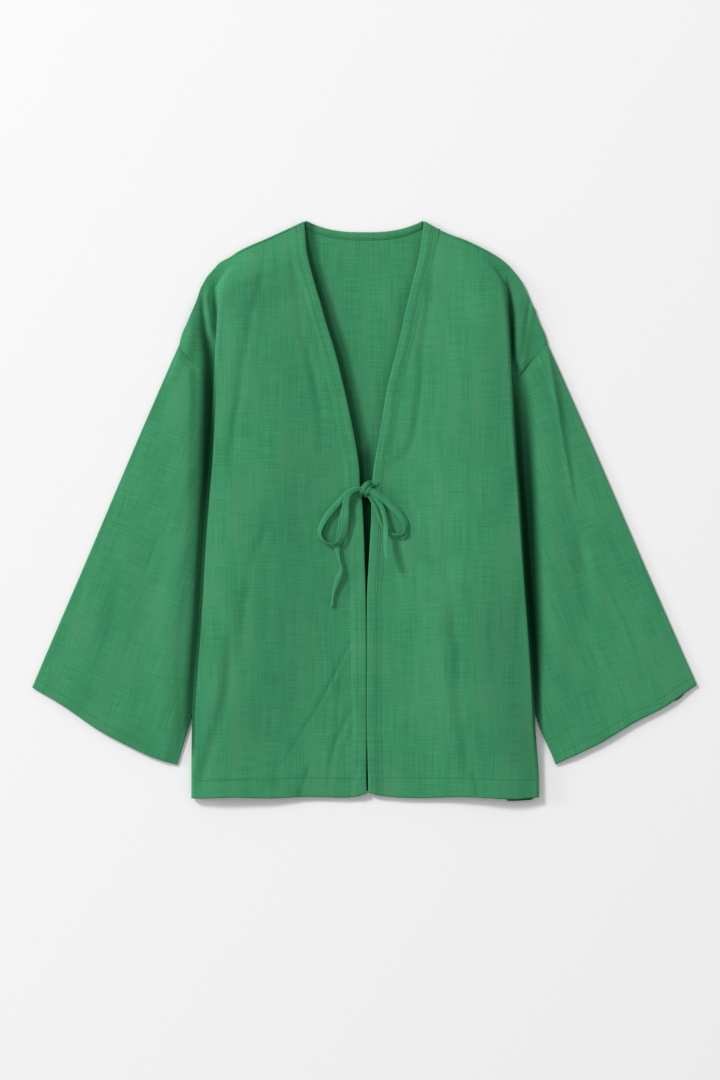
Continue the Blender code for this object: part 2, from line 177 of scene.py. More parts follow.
class Finish:
    def __init__(self, name):
        self.material = bpy.data.materials.new(name)
        self.material.use_nodes = True
        self.tree = self.material.node_tree
        self.shader = self.tree.nodes["Principled BSDF"]

    def put(self, socket, value):
        if isinstance(value, Wire):
            self.tree.links.new(value.socket, socket)
        else:
            socket.default_value = value

    def node(self, kind, settings=None, inputs=None, output=0):
        made = self.tree.nodes.new(kind)
        for name, value in (settings or {}).items():
            setattr(made, name, value)
        for name, value in (inputs or {}).items():
            self.put(made.inputs[name], value)
        return Wire(self, made.outputs[output])

    def maths(self, kind, first, second):
        return self.node("ShaderNodeMath", {"operation": kind}, {0: first, 1: second})

    def mixed(self, share, first, second, blend="MIX"):
        settings = {"data_type": "RGBA", "blend_type": blend}
        return self.node("ShaderNodeMix", settings, {0: share, 6: first, 7: second}, output=2)

    def scaled(self, vector, sizes):
        return self.node("ShaderNodeVectorMath", {"operation": "MULTIPLY"}, {0: vector, 1: sizes})

    def noise(self, vector, sizes, detail=2.0):
        return self.node("ShaderNodeTexNoise", {"noise_dimensions": "3D"},
                         {"Vector": self.scaled(vector, sizes), "Scale": 1.0, "Detail": detail})

    def finish(self, **sockets):
        for name, value in sockets.items():
            self.put(self.shader.inputs[name.replace("_", " ")], value)
        return self.material


clothLook = dict(
    dark=(0.035, 0.202, 0.090, 1.0),
    light=(0.054, 0.284, 0.128, 1.0),
    # deep is the painted shade colour that the shade attribute mixes in
    deep=(0.0006, 0.021, 0.0075, 1.0),  # inside the folds
    dry=(0.066, 0.236, 0.116, 1.0),  # paler, greyer stretches
    roughness=0.88, sheen=0.03, sheenRoughness=0.45, shine=0.04,
    warpSlub=(640.0, 17.0, 1.0),  # threads across and along the cloth, per metre
    weftSlub=(30.0, 700.0, 1.0),
    grain=(2600.0, 2600.0, 1.0), patches=(16.0, 11.0, 1.0), streaks=(60.0, 7.0, 1.0),
    tones=dict(threads=3.2, grain=0.8, patches=0.6, streaks=0.7), toneMiddle=0.48,
    wornFrom=0.96, wornRate=1.6, grainRoughness=0.1, grainBump=0.35, bump=0.35, bumpDepth=0.00035,
)


def clothFinish(name, look):
    # Plain slubby weave on the piece's own UV map, which holds the cloth's sizes in metres
    finish = Finish(name)
    flat = finish.node("ShaderNodeUVMap", {"uv_map": "cloth"})
    warp, weft, grain, patches, streaks = (finish.noise(flat, look[key], detail) for key, detail in (
        ("warpSlub", 3.0), ("weftSlub", 3.0), ("grain", 2.0), ("patches", 3.0), ("streaks", 2.0)))
    shade = finish.node("ShaderNodeAttribute", {"attribute_name": "shade"}, output=2)
    threads = warp * 0.5 + weft * 0.5
    tones = look["tones"]
    tone = ((threads - 0.5) * tones["threads"] + (grain - 0.5) * tones["grain"]
            + (patches - 0.5) * tones["patches"] + (streaks - 0.5) * tones["streaks"] + look["toneMiddle"])
    tone = finish.node("ShaderNodeClamp", None, {"Value": tone})
    colour = finish.mixed(tone, look["dark"], look["light"])
    worn = (patches + streaks - look["wornFrom"]) * look["wornRate"]
    colour = finish.mixed(finish.node("ShaderNodeClamp", None, {"Value": worn}), colour, look["dry"])
    # Painted shade: the shade attribute mixes the colour towards deep in folds, creases, gaps and grooves, and
    # paints the neck edges' shadow
    colour = finish.mixed(shade, colour, look["deep"])
    bump = finish.node("ShaderNodeBump", None, {
        "Strength": look["bump"], "Distance": look["bumpDepth"], "Height": threads + grain * look["grainBump"]})
    return finish.finish(
        Base_Color=colour, Roughness=look["roughness"] + (grain - 0.5) * look["grainRoughness"], Normal=bump,
        Sheen_Weight=look["sheen"], Sheen_Roughness=look["sheenRoughness"], Specular_IOR_Level=look["shine"])


# Meshes

def makeObject(name, points, faces, material, flat=None, shade=None):
    mesh = bpy.data.meshes.new(name)
    mesh.from_pydata((np.asarray(points) * mm).tolist(), [], faces)
    mesh.update()
    mesh.polygons.foreach_set("use_smooth", [True] * len(mesh.polygons))
    corners = np.empty(len(mesh.loops), dtype=np.int32)
    mesh.loops.foreach_get("vertex_index", corners)
    if flat is not None:
        layer = mesh.uv_layers.new(name="cloth")
        layer.data.foreach_set("uv", (np.asarray(flat)[corners] * mm).astype(np.float32).ravel())
    marks = mesh.attributes.new("shade", "FLOAT", "POINT")
    marks.data.foreach_set("value", np.zeros(len(mesh.vertices)) if shade is None else np.asarray(shade, float))
    mesh.materials.append(material)
    piece = bpy.data.objects.new(name, mesh)
    bpy.context.collection.objects.link(piece)
    return piece


def signedVolume(points, faces):
    total = 0.0
    for face in faces:
        for second, third in zip(face[1:-1], face[2:]):
            total += float(np.dot(points[face[0]], np.cross(points[second], points[third])))
    return total


def sheetFaces(there, around=False):
    # Cells of a grid whose four corners are there; around joins the last column to the first
    rows, wide = there.shape
    number = np.full(there.shape, -1)
    number[there] = np.arange(there.sum())
    after = np.roll(number, -1, axis=1)
    if not around:
        after[:, -1] = -1
    cells = np.stack([number[:-1], number[1:], after[1:], after[:-1]], axis=-1).reshape(-1, 4)
    return cells[(cells >= 0).all(axis=1)].tolist()


def gridSlope(grid, axis):
    # Steps along one axis, one-sided at its ends and where the next point is missing
    line = np.moveaxis(grid, axis, 0)
    slope, back = np.empty_like(line), np.empty_like(line)
    slope[1:-1] = line[2:] - line[:-2]
    slope[0], slope[-1] = line[1] - line[0], line[-1] - line[-2]
    back[1:], back[0] = line[1:] - line[:-1], slope[0]
    return np.moveaxis(np.where(np.isnan(slope), back, slope), 0, axis)


def offsetGrid(grid, offset):
    normals = np.cross(gridSlope(grid, 0), gridSlope(grid, 1))
    size = np.linalg.norm(normals, axis=-1, keepdims=True)
    return grid + normals / np.where(size > 0, size, 1.0) * offset


creaseShape = dict(step=5.0, reach=4, ends=0.22, swell=0.85, sway=0.25, swayRate=9.0, sharpBelow=4, lipAt=1.5)


def creaseHeight(x, y, creases):
    # Each crease is a route with a depth (below zero is a trough), a half width and a lip beside it
    total = np.zeros(x.shape)
    for depth, wide, lip, route in creases:
        route = throughPoints(route, creaseShape["step"])
        reach = creaseShape["reach"] * wide
        low, high = route.min(axis=0) - reach, route.max(axis=0) + reach
        box = (x > low[0]) & (x < high[0]) & (y > low[1]) & (y < high[1])
        atX, atY = x[box], y[box]
        best, sign, share = np.full(atX.shape, 1e9), np.zeros(atX.shape), np.zeros(atX.shape)
        count = len(route) - 1
        for index in range(count):
            start = route[index]
            run = route[index + 1] - start
            length = np.hypot(*run)
            part = np.clip(((atX - start[0]) * run[0] + (atY - start[1]) * run[1]) / length ** 2, 0, 1)
            dx, dy = atX - start[0] - run[0] * part, atY - start[1] - run[1] * part
            far = np.hypot(dx, dy)
            closer = far < best
            best = np.where(closer, far, best)
            sign = np.where(closer, np.sign(run[0] * dy - run[1] * dx), sign)
            share = np.where(closer, (index + part) / count, share)
        ends = ease(share / creaseShape["ends"]) * ease((1 - share) / creaseShape["ends"])
        swell = creaseShape["swell"] + creaseShape["sway"] * np.sin(share * creaseShape["swayRate"] + route[0, 0])
        offset = best * sign
        near = np.exp(-np.abs(offset) / wide) if wide < creaseShape["sharpBelow"] else bell(offset, wide)
        profile = depth * near + lip * bell(offset - creaseShape["lipAt"] * wide, wide)
        total[box] += profile * ends * swell
    return total


# Sewn lines: a narrow groove, darkened with painted shade, with a row of stitches
hemLine = dict(up=23.4, tall=690.0, half=1.0, groove=0.35, dark=0.2)
hemLine["down"] = 1 - hemLine["up"] / hemLine["tall"]
shoulderLine = dict(down=2.7 / hemLine["tall"], groove=0.4, dark=0.3)
cuffLine = dict(up=11.3, half=1.0, groove=0.35, dark=0.2)
stitch = dict(pitch=3.1, long=2.2, wide=0.5, high=0.22, flatScale=7.0, dark=0.1)


# Body: both plies follow one fold line, as the solids do

body = dict(
    wall=1.5, seamGap=0.3, floor=1.65, tuckRise=6.2, sideRise=6.8, slope=(6.0, 55.0), softStart=0.8,
    frontSlope=(-6.0, 118.0),  # the cloth that shows eases down more gently
    frontLoft=3.4, shoulderLoft=0.12, loftFromFold=40.0, loftFromShoulder=45.0,
    hemY=-359.4, neckDip=345.0, neckRise=15.0, neckCurve=2.7, neckHalf=74.0, edgeTop=359.4, rowTop=303.0,
    foldTop=176.0, armholeTop=6, armpit=12,
    cloth=0.9,  # thickness that shows
    crown=0.3,  # soft rise inside each side fold
    edgeLift=3.6,  # how far the neck edges stand off the back
    rowStep=2.3, rowsLonger=1.09, mainColumns=88, backColumns=45, turnColumns=9, stripColumns=6, underColumns=24,
)
# Each level of the side fold: where it starts and ends, its turn in degrees, how far it lifts off, how deep it
# tucks under and how much of the inner turn's rise it has
levels = columns("""
    foldY endY turn lifted tuck rise
    303 277 0 0 6 1
    289 266 24 0.4 7 1
    275 255 52 0.8 7.5 1
    261 245 85 1 8 1
    243 232 135 1 10 1
    225 218 180 1 12 1
    205.6 205.6 180 1 25 1
    190 190 180 1 33 1
    174 174 180 1 40 1
    146 146 180 1 49 1
    118 118 180 1 57 1
    90 90 180 1 65 1
    64.4 64.4 180 1 71 1
    20 20 180 1 68 1
    -35 -35 180 1 65 1
    -90 -90 180 1 61 1
    -145 -145 180 1 57 1
    -200 -200 180 1 53 1
    -240 -240 180 1 49 1
    -268 -268 180 1 46 0.8
    -300 -300 180 1 44 0.3
    -330 -330 180 1 42 0.1
    -359.4 -359.4 180 1 41 0.1
""")
# Neck edges with the opening below them, and the side folds
edges = columns("""
    y leftEdge rightEdge leftFold rightFold
    360 -75.6 73.4 -184 173
    323 -73.6 66.9 -184 173
    290 -67 56.9 -184 174
    252 -56.9 48.3 -182 176.3
    209 -43.1 39.3 -184 179.2
    158 -28.1 28 -186.5 182.4
    75 -10.6 15 -190.8 188.6
    33 -5.6 9.4 -194 191.5
    11 -2.5 8.1 -196.5 194.4
    -50 0 6 -200.6 198.1
    -113 1.6 3.2 -204 203.1
    -176 2 3.2 -208.5 207.5
    -238 2.2 3.3 -212.5 210.6
    -282 2.4 3.5 -213.8 212
    -319 2.6 3.8 -214.4 215.6
    -359.4 2.8 4.6 -214.4 216.3
""")
# Where the cloth that is folded under ends
ends = columns("""
    y leftEnd rightEnd
    277 -204.4 199.4
    262 -209.4 206.9
    237 -219.4 216.9
    205.6 -230.4 228
    190 -221 212.5
    174 -203 198.5
    146 -181 182.5
    118 -161 163
    90 -141.5 142
    64.4 -126 123.5
""")
shoulder = columns("""
    x leftY rightY
    74 360.3 360.3
    104 346.5 344.4
    124 337.2 336.9
    142 329.4 328.5
    156 322.4 321.2
    168 314.4 313.8
    180 307.9 304.6
    188 300.2 295.6
    196 291.4 284.8
    204.4 277 270
""")

# How far to the right of the edges the cloth that shows starts, where its band folds over
edgeShift = columns("""
    y left right
    359.4 -0.6 2.2
    330.6 0 3.1
    293.1 2.2 5
    255.6 4.4 3.8
    211.9 4.4 2.9
    161.9 2.1 1.3
    111.9 1.25 1.25
    61.9 0.7 0.1
    24 -1 1.1
    -7 -1.2 2.2
    -26 -1.2 1.7
    -63 -1.25 1.2
    -113 -1.2 1.2
    -150 -0.88 0.88
    -275 -0.88 0.88
    -300 -1.4 1.4
    -338 -1.7 1.7
    -359.4 -1.2 1.2
""")


def topLine(x, side):
    x = np.abs(np.asarray(x, dtype=float))
    share = np.minimum(x, body["neckHalf"]) / body["neckHalf"]
    neck = body["neckDip"] + body["neckRise"] * share ** body["neckCurve"]
    return np.where(x < body["neckHalf"], neck, lookUp(shoulder, sideNames[side] + "Y", x))


def foldX(down, side):
    top = topLine(body["foldTop"], side)
    return lookUp(edges, sideNames[side] + "Fold", top + (body["hemY"] - top) * down)


def shownEdge(down, side):
    y = body["edgeTop"] + (body["hemY"] - body["edgeTop"]) * down
    return lookUp(edges, sideNames[side] + "Edge", y) + lookUp(edgeShift, sideNames[side], y)


def levelPath(row, side):
    # Fold line of one level from the start of the side fold outwards: distance out from the fold, and height
    turn = math.radians(levels["turn"][row])
    wider = max(1.0, body["softStart"] * math.pi / turn) if turn else 1.0
    rise = levels["rise"][row] * body["tuckRise"]
    outTurn, inTurn = body["sideRise"] / 2 * wider, rise / 2 * wider
    drop = (body["sideRise"] + rise) * levels["lifted"][row]
    strip = levels["tuck"][row] - outTurn
    if 0.0 < turn < math.pi:
        strip = (drop - (outTurn + inTurn) * (1.0 - math.cos(turn))) / math.sin(turn)
    out, z, heading = -outTurn, body["floor"] + drop, 0.0
    path = []
    for steps, size, bend in ((body["turnColumns"], outTurn, turn), (body["stripColumns"], strip, 0.0),
                              (body["turnColumns"], inTurn, -turn)):
        for step in range(steps):
            after = heading + bend / steps
            if bend:
                radius = math.copysign(size, bend)
                out += radius * (math.sin(after) - math.sin(heading))
                z += radius * (math.cos(after) - math.cos(heading))
            else:
                out += size / steps * math.cos(heading)
                z -= size / steps * math.sin(heading)
            heading = after
            path.append((out, z))
    fold = float(foldX((body["rowTop"] - levels["foldY"][row]) / (body["rowTop"] - body["hemY"]), side))
    count = body["underColumns"]
    if row <= body["armpit"]:
        reach = side * (float(lookUp(ends, sideNames[side] + "End", levels["endY"][row])) - fold)
        path += [(out + (reach - out) * step / count, body["floor"]) for step in range(1, count + 1)]
        if not turn:
            path = [(-outTurn + (reach + outTurn) * step / len(path), body["floor"])
                    for step in range(1, len(path) + 1)]
    else:
        path = path[:body["turnColumns"] + body["stripColumns"]]
        path += [(np.nan, np.nan)] * (body["turnColumns"] + count)
    return np.array(path), outTurn, fold


def bodyGrid(side, front):
    # Points of the fold line by row down the body and column outwards: the main stretch, then the fold
    hem, rowTop = body["hemY"], body["rowTop"]
    keys = (rowTop - levels["foldY"]) / (rowTop - hem)
    paths, starts = [], []
    for row in range(len(keys)):
        path, outTurn, fold = levelPath(row, side)
        top = float(topLine(fold - side * outTurn, side))
        startY = top + (hem - top) * keys[row]
        count = int((~np.isnan(path[:, 0])).sum())
        x = fold + side * path[:, 0]
        steps = np.arange(1, len(path) + 1) / count
        y = topLine(x, side) if row == 0 else startY + (levels["endY"][row] - startY) * steps
        paths.append(np.stack([x, y, path[:, 1]], axis=1))
        starts.append((fold - side * outTurn, levels["lifted"][row], levels["rise"][row], levels["tuck"][row]))
    paths, starts = np.array(paths), np.array(starts)
    armpitKey = keys[body["armpit"]]
    tall = (rowTop - hem) * body["rowsLonger"]
    upper = int(round(tall * armpitKey / body["rowStep"]))
    lower = int(round(tall * (1 - armpitKey) / body["rowStep"]))
    down = np.concatenate([np.linspace(0, armpitKey, upper + 1), np.linspace(armpitKey, 1, lower + 1)[1:]])
    for line in (hemLine["down"], shoulderLine["down"]):
        down = np.concatenate([down, line + np.array([-1.0, 0.0, 1.0]) * hemLine["half"] / hemLine["tall"]])
    down = np.sort(down)
    start, lifted, rise, tuck = smoothRead(keys, starts, down).T
    fold = foldX(down, side)
    inner = shownEdge(down, side) if front else np.zeros(len(down))
    share = np.linspace(0, 1, body["mainColumns"] if front else body["backColumns"])
    x = inner[:, None] + (start - inner)[:, None] * share
    top = topLine(x, side)
    y = top + (hem - top) * down[:, None]
    inward = np.abs(fold[:, None] - x)
    fall = fade(inward - tuck[:, None], *body["frontSlope" if front else "slope"])
    high = (rise * body["tuckRise"] + body["sideRise"])[:, None]
    z = body["floor"] + lifted[:, None] * high * (1 - fall)
    main = np.stack([x, y, z], axis=-1)
    bend = smoothRead(keys[:body["armpit"] + 1], paths[:body["armpit"] + 1], down)
    below = down > armpitKey + 1e-9
    known = body["turnColumns"] + body["stripColumns"]
    bend[:, :known] = smoothRead(keys, paths[:, :known], down)
    bend[below, known:] = np.nan
    grid = np.concatenate([main, bend], axis=1)
    inward = np.concatenate([inward, np.zeros(bend.shape[:2])], axis=1)
    foldY = rowTop - down * (rowTop - hem)
    flatX = np.concatenate([x, np.zeros(bend.shape[:2])], axis=1)
    runs = np.linalg.norm(np.diff(np.nan_to_num(grid), axis=1)[:, x.shape[1] - 1:], axis=-1)
    flatX[:, x.shape[1]:] = x[:, -1:] + side * np.cumsum(runs, axis=1)
    return grid, inward, foldY, flatX, down


def frontLoft(inward, foldY):
    away = ease(inward / body["loftFromFold"])
    down = ease((body["rowTop"] - foldY) / body["loftFromShoulder"])[:, None]
    return body["frontLoft"] * away * (body["shoulderLoft"] + (1 - body["shoulderLoft"]) * down)


# Painted shade in the dark gap beside each side fold, read down the front view: where it starts, is full, ends
# being full and fades out, going outwards, and how dark it is
gap = {
    -1: columns("""
    y start full fullEnd end dark
    284 207 205 205 203 0
    297 206 202 201 198 0.25
    310 205 202.5 201 197.5 0.56
    320 207 203.5 202 197 0.68
    332 209 205 203 196 0.80
    344 214 207 205 196 0.88
    360 219 209 207 196.5 0.93
    400 222 212 207 195.5 0.98
    440 222 214 206 192.5 0.98
    470 222 215 206 190 0.98
    500 220 214 205 188 0.94
    540 220 214 204 186 0.88
    580 216 212 201 184 0.84
    620 210 206 199 182 0.84
    660 206 202 195 179 0.78
    700 204 200 190 180 0.66
    740 202 198 189 182 0.55
    760 200 196 189 184 0
"""),
    1: columns("""
    y start full fullEnd end dark
    274 504 505.5 506 507 0
    284 505 506.5 507.5 510 0.55
    300 506 508.5 510 515 0.70
    320 508 510.5 512.5 518 0.84
    344 509.5 512 513 517.5 1
    358 510 512.5 513.5 518 0.80
    370 510 513 518 524 0.46
    384 509 513 520 530 0.50
    400 509 514 521 534 0.68
    440 509 516 526 537 0.84
    500 513 520 530 540 0.94
    580 518 524 533 545 0.97
    620 521 527 535 546 0.97
    660 523 530 536 546 0.92
    700 525 532 536 543 0.80
    740 527 534 538 542 0.30
    760 528 535 539 542 0
"""),
}

# Lesser shades near it: strength, half width, lip, route
softShades = {
    -1: [(0.66, 4.2, 0.0, px("212 276  214 296  215 316  214.5 344"))],
    1: [(0.26, 2.8, 0.0, px("529 290  527.5 312  523.5 338  520 358  515 378"))],
}


def gapShade(x, y, side):
    table = gap[side]
    keys = (view["middle"][1] - table["y"]) * view["step"]
    start, full, fullEnd, end = (side * (smoothRead(keys, table[name], y) - view["middle"][0]) * view["step"]
                                 for name in ("start", "full", "fullEnd", "end"))
    dark = smoothRead(keys, table["dark"], y)
    out = x * side
    shade = fade(out, start, full - start + 0.1) * (1 - fade(out, fullEnd, end - fullEnd + 0.1))
    return np.clip(np.where(y > keys[0], 0.0, shade * dark) + creaseHeight(x, y, softShades[side]), 0.0, 1.0)


# Creases of the fronts, each drawn down its dark side with painted shade: how dark, half width, depth, route
frontLines = {
    -1: [
        (0.18, 4.8, 0.9, px("265 242  259 282  254 300  249 320  245 345  241 370  238 400  233 425  230 455 "
                            "227 500")),
        (0.15, 4.6, 0.8, px("290 240  294 285  297 310  301 335  307 357  312 377  317 397  319 420  321 470")),
        (0.08, 6.0, 0.6, px("233 270  234 290  235 315")),
        (0.14, 5.6, 0.8, px("270 485  266 525  257 545  249 565  246 590  241 615  240 640  234 680")),
        (0.30, 6.4, 1.0, px("232 612  228 645  226 668  224 692  218 716  212 737  206 756  198 776  190 795")),
        (0.24, 1.8, 1.0, px("362 618  352 637  342 657  333 676  325 691  314 711  303 728  292 747  276 774")),
        (0.22, 2.8, 0.9, px("339 672  338 690  337 708  336 732")),
        (0.20, 3.2, 1.0, px("352 700  346 718  338 734  332 752  329 772  329 800")),
        (0.17, 3.0, 0.6, px("352 704  353 726  351 748")),
        (0.16, 2.6, 0.8, px("357 755  356 770  353 785  352 805")),
        (0.28, 2.6, 0.9, px("309 762  306 773  302 784  297 802")),
        (0.05, 34.0, 0.0, px("332 520  335 600  345 720")),
    ],
    1: [
        (0.20, 4.4, 1.0, px("431 236  429 285  427 305  424 325  421 350  420 380  417 402  413 430  407 450 "
                            "396 459  388 469  376 482")),
        (0.06, 5.0, 0.6, px("444 500  443 530  444 560  448 600")),
        (0.24, 7.0, 0.8, px("449 580  450 625  454 648  454 690  458 722  463 752  467 790")),
        (0.14, 3.4, 0.8, px("470 768  474 782  478 800")),
        (0.15, 48.0, 0.0, px("494 540  496 680  498 880")),
        (0.08, 14.0, 0.0, px("518 690  522 740  522 810")),
    ],
}
# Ridges of the shoulder cap beside the dark gap: height, half width, lip, route
shoulderCreases = {
    -1: [
        (3.4, 3.6, 0.0, px("206 288  207 305  210 322  214 345")),
        (3.6, 8.0, 0.0, px("196 290  193 318  188 350  182 380")),
    ],
    1: [
        (3.6, 8.0, 0.0, px("517 288  519 318  521 345  522 380")),
        (-1.6, 3.0, 1.4, px("530 290  528 312  524 338  520.5 358  515 380")),
    ],
}

jacketCloth = clothFinish("jacket cloth", clothLook)
bandCloth = clothFinish("band cloth", dict(clothLook, patches=(22.0, 22.0, 1.0)))
tieCloth = clothFinish("tie cloth", dict(clothLook, patches=(30.0, 30.0, 1.0)))


# How far the skin that shows lies from the fold line that runs between the two plies
skin = (body["wall"] + body["seamGap"]) / 2 + body["wall"] / 2 - body["cloth"] / 2


def makePanel(name, grid, flat, shade, nodes, thickness=body["cloth"], around=False, material=jacketCloth):
    there = ~np.isnan(grid[..., 0])
    piece = makeObject(name, grid[there], sheetFaces(there, around), material, flat[there], shade[there])
    wall = piece.modifiers.new("wall", "SOLIDIFY")
    wall.thickness, wall.offset = thickness * mm, 0.0
    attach(piece, "root")
    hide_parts(*nodes)
    return piece


# Shade where the fold line dives in under the side fold
dive = dict(dark=0.9, inside=(1.0, 4.0), deep=(10.0, -5.0), below=(255, -30))


def crevice(grid, mainCount, side):
    shade = np.zeros(grid.shape[:2])
    x, y, z = (np.nan_to_num(grid[:, mainCount:, axis]) for axis in range(3))
    inside = fade(np.abs(lookUp(edges, sideNames[side] + "Fold", y)) - np.abs(x), *dive["inside"])
    dark = dive["dark"] * inside * fade(z, *dive["deep"]) * fade(y, *dive["below"])
    shade[:, mainCount:] = np.maximum(gapShade(x, y, side), dark)
    return shade


frontGrids = {}
# Pairs are where a change starts and over what distance it grows
frontLook = dict(
    crownAt=17.0, crownWide=11.0, crownBelow=(300, -60.0),
    edgeWide=42.0, edgeBelow=(352, -90.0), edgeAbove=(42, 70.0),
    calmIn=16.0, calmBelow=(360, -30.0), uneven=0.35, unevenSize=95.0, unevenSeed=5,
    foldWide=1.3, foldLip=0.35, foldShift=(1.3, 0.0),  # a crease's trough against its dark line
    seamFrom=(70, 12), seamTo=(178, -40), curlRise=5.6, curlWide=11.0, curlBelow=(-318, -41.0),
    capColumns=5.0, capBelow=(296, -25),
)
backLook = dict(
    uneven=0.25, unevenLift=0.8, unevenSize=120.0, unevenSeed=3, unevenIn=20.0,
    hemBelow=(-330, -29.0), curlRise=7.0, curlAt=4, curlWide=14.0, hemShift=0.6,
    tailDrop=3.2, tailFrom=(174, 3), tailTo=(214, -6), tailDark=0.6,  # the strip that peeps out at the hem
)
hemSway = dict(high=0.8, long=17.0, shift=0.8, dip=0.9, dipAt=190, dipWide=22.0)


def hemWave(x, side):
    x = np.nan_to_num(x)
    return (hemSway["high"] * np.sin(x / hemSway["long"] + hemSway["shift"] * side)
            - hemSway["dip"] * bell(np.abs(x) - hemSway["dipAt"], hemSway["dipWide"]))


def makeFront(side):
    look = frontLook
    grid, inward, foldY, flatX, down = bodyGrid(side, True)
    x, y = grid[..., 0], grid[..., 1]
    allX, allY = np.nan_to_num(x), np.nan_to_num(y)
    count = body["mainColumns"]
    lift = np.zeros(x.shape)
    lift[:, :count] = frontLoft(inward[:, :count], foldY)
    crown = body["crown"] * bell(inward - look["crownAt"], look["crownWide"])
    lift[:, :count] += (crown * fade(foldY[:, None], *look["crownBelow"]))[:, :count]
    fromEdge = np.abs(x - x[:, :1])
    raised = body["edgeLift"] * bell(fromEdge, look["edgeWide"])
    lift += np.nan_to_num(raised * (fade(y, *look["edgeBelow"]) * fade(y, *look["edgeAbove"])))
    calm = ease(inward / look["calmIn"]) * fade(allY, *look["calmBelow"])
    lift += calm * look["uneven"] * wander(allX, allY, look["unevenSize"], look["unevenSeed"] + side)
    folds = [(-depth, look["foldWide"] * wide, look["foldLip"] * depth, route + look["foldShift"])
             for dark, wide, depth, route in frontLines[side] if depth]
    lift += calm * creaseHeight(allX, allY, folds)
    hemRow, seamRow = (nearest(down, line["down"]) for line in (hemLine, shoulderLine))
    lift[hemRow] -= hemLine["groove"]
    out = np.abs(x[seamRow])
    alongSeam = np.nan_to_num(fade(out, *look["seamFrom"]) * fade(out, *look["seamTo"]))
    lift[seamRow] -= shoulderLine["groove"] * alongSeam
    # The hem's corner curls up beside the opening
    curl = look["curlRise"] * np.exp(-fromEdge / look["curlWide"])
    grid[..., 1] += fade(y, *look["curlBelow"]) * (curl + hemWave(x, side))
    grid[..., 2] += lift
    underX, underY = (np.nan_to_num(part[:, count:]) for part in (x, y))
    inTurn = 2 * body["turnColumns"] + body["stripColumns"]
    grown = fade(np.arange(underX.shape[1]), inTurn, look["capColumns"]) * fade(underY, *look["capBelow"])
    grid[:, count:, 2] += creaseHeight(underX, underY, shoulderCreases[side]) * grown
    frontGrids[side] = grid.copy()
    flat = np.stack([flatX, np.nan_to_num(y)], axis=-1)
    # Painted shade in the dark gap, along the creases and in the hem's and shoulder's grooves
    shade = crevice(grid, count, side)
    paintedCreaseShades = [(dark, wide, 0.0, route) for dark, wide, depth, route in frontLines[side]]
    shade[:, :count] += creaseHeight(x[:, :count], y[:, :count], paintedCreaseShades)
    shade[hemRow, :count] += hemLine["dark"]
    shade[seamRow] += shoulderLine["dark"] * alongSeam
    # Columns run from left to right on both sides, so that every normal points up
    grid, flat, shade = (part[:, ::side] for part in (grid, flat, np.clip(shade, 0, 1)))
    name = "front_" + sideNames[side]
    return makePanel(name + "_cloth", offsetGrid(grid, skin), flat, shade, [name])


neckShadow = dict(
    left=0.60, leftTo=(9.5, 9.5), right=0.13, rightTo=(2.0, 14.0), below=(366, -10),
    low=0.82, lowBelow=(112, -50), lowTo=(12.0, 13.0), slit=0.99, slitBelow=(46, -24), reach=-12,
)


def neckShade(x, y):
    # Shadow that the neck edges throw on the back, dark between the two edges below the knot
    look = neckShadow
    down = (body["edgeTop"] - y) / (body["edgeTop"] - body["hemY"])
    left, right = x - shownEdge(down, -1), shownEdge(down, 1) - x
    below = fade(y, *look["below"])
    shade = look["left"] * (1 - fade(left, *look["leftTo"])) * below
    shade = np.maximum(shade, look["right"] * (1 - fade(right, *look["rightTo"])) * below)
    shade = np.maximum(shade, look["low"] * fade(y, *look["lowBelow"]) * (1 - fade(left, *look["lowTo"])))
    shade = np.maximum(shade, look["slit"] * fade(y, *look["slitBelow"]))
    return np.where(np.minimum(left, right) > look["reach"], shade, 0.0)


def makeBack():
    look = backLook
    halves = []
    for side in (-1, 1):
        grid, inward, foldY, flatX, down = bodyGrid(side, False)
        count = body["backColumns"]
        x, y = np.nan_to_num(grid[..., 0]), np.nan_to_num(grid[..., 1])
        uneven = wander(x, y, look["unevenSize"], look["unevenSeed"]) + look["unevenLift"]
        grid[..., 2] += np.maximum(look["uneven"] * uneven, 0.0) * ease(inward / look["unevenIn"])
        dark = crevice(grid, count, side)
        dark[:, :count] = neckShade(grid[:, :count, 0], grid[:, :count, 1])
        tail = fade(x, *look["tailFrom"]) * fade(x, *look["tailTo"])
        curl = look["curlRise"] * np.exp(-np.abs(x - look["curlAt"]) / look["curlWide"])
        grid[..., 1] += fade(grid[..., 1], *look["hemBelow"]) * (
            curl + hemWave(x, side) + look["hemShift"] - look["tailDrop"] * tail)
        # Painted shade on the strip that peeps out at the hem
        dark[-2:] = np.maximum(dark[-2:], look["tailDark"] * tail[-2:])
        halves.append((grid, np.stack([flatX, np.nan_to_num(grid[..., 1])], axis=-1), dark))
    grid, flat, shade = (np.concatenate([left[:, :0:-1], right], axis=1) for left, right in zip(*halves))
    return makePanel("back_cloth", offsetGrid(grid, -skin), flat, shade, ["back"])


back = makeBack()
fronts = {side: makeFront(side) for side in (-1, 1)}
print("body made")


# Sleeves: flat tubes on the surface, from the armhole to the cuff

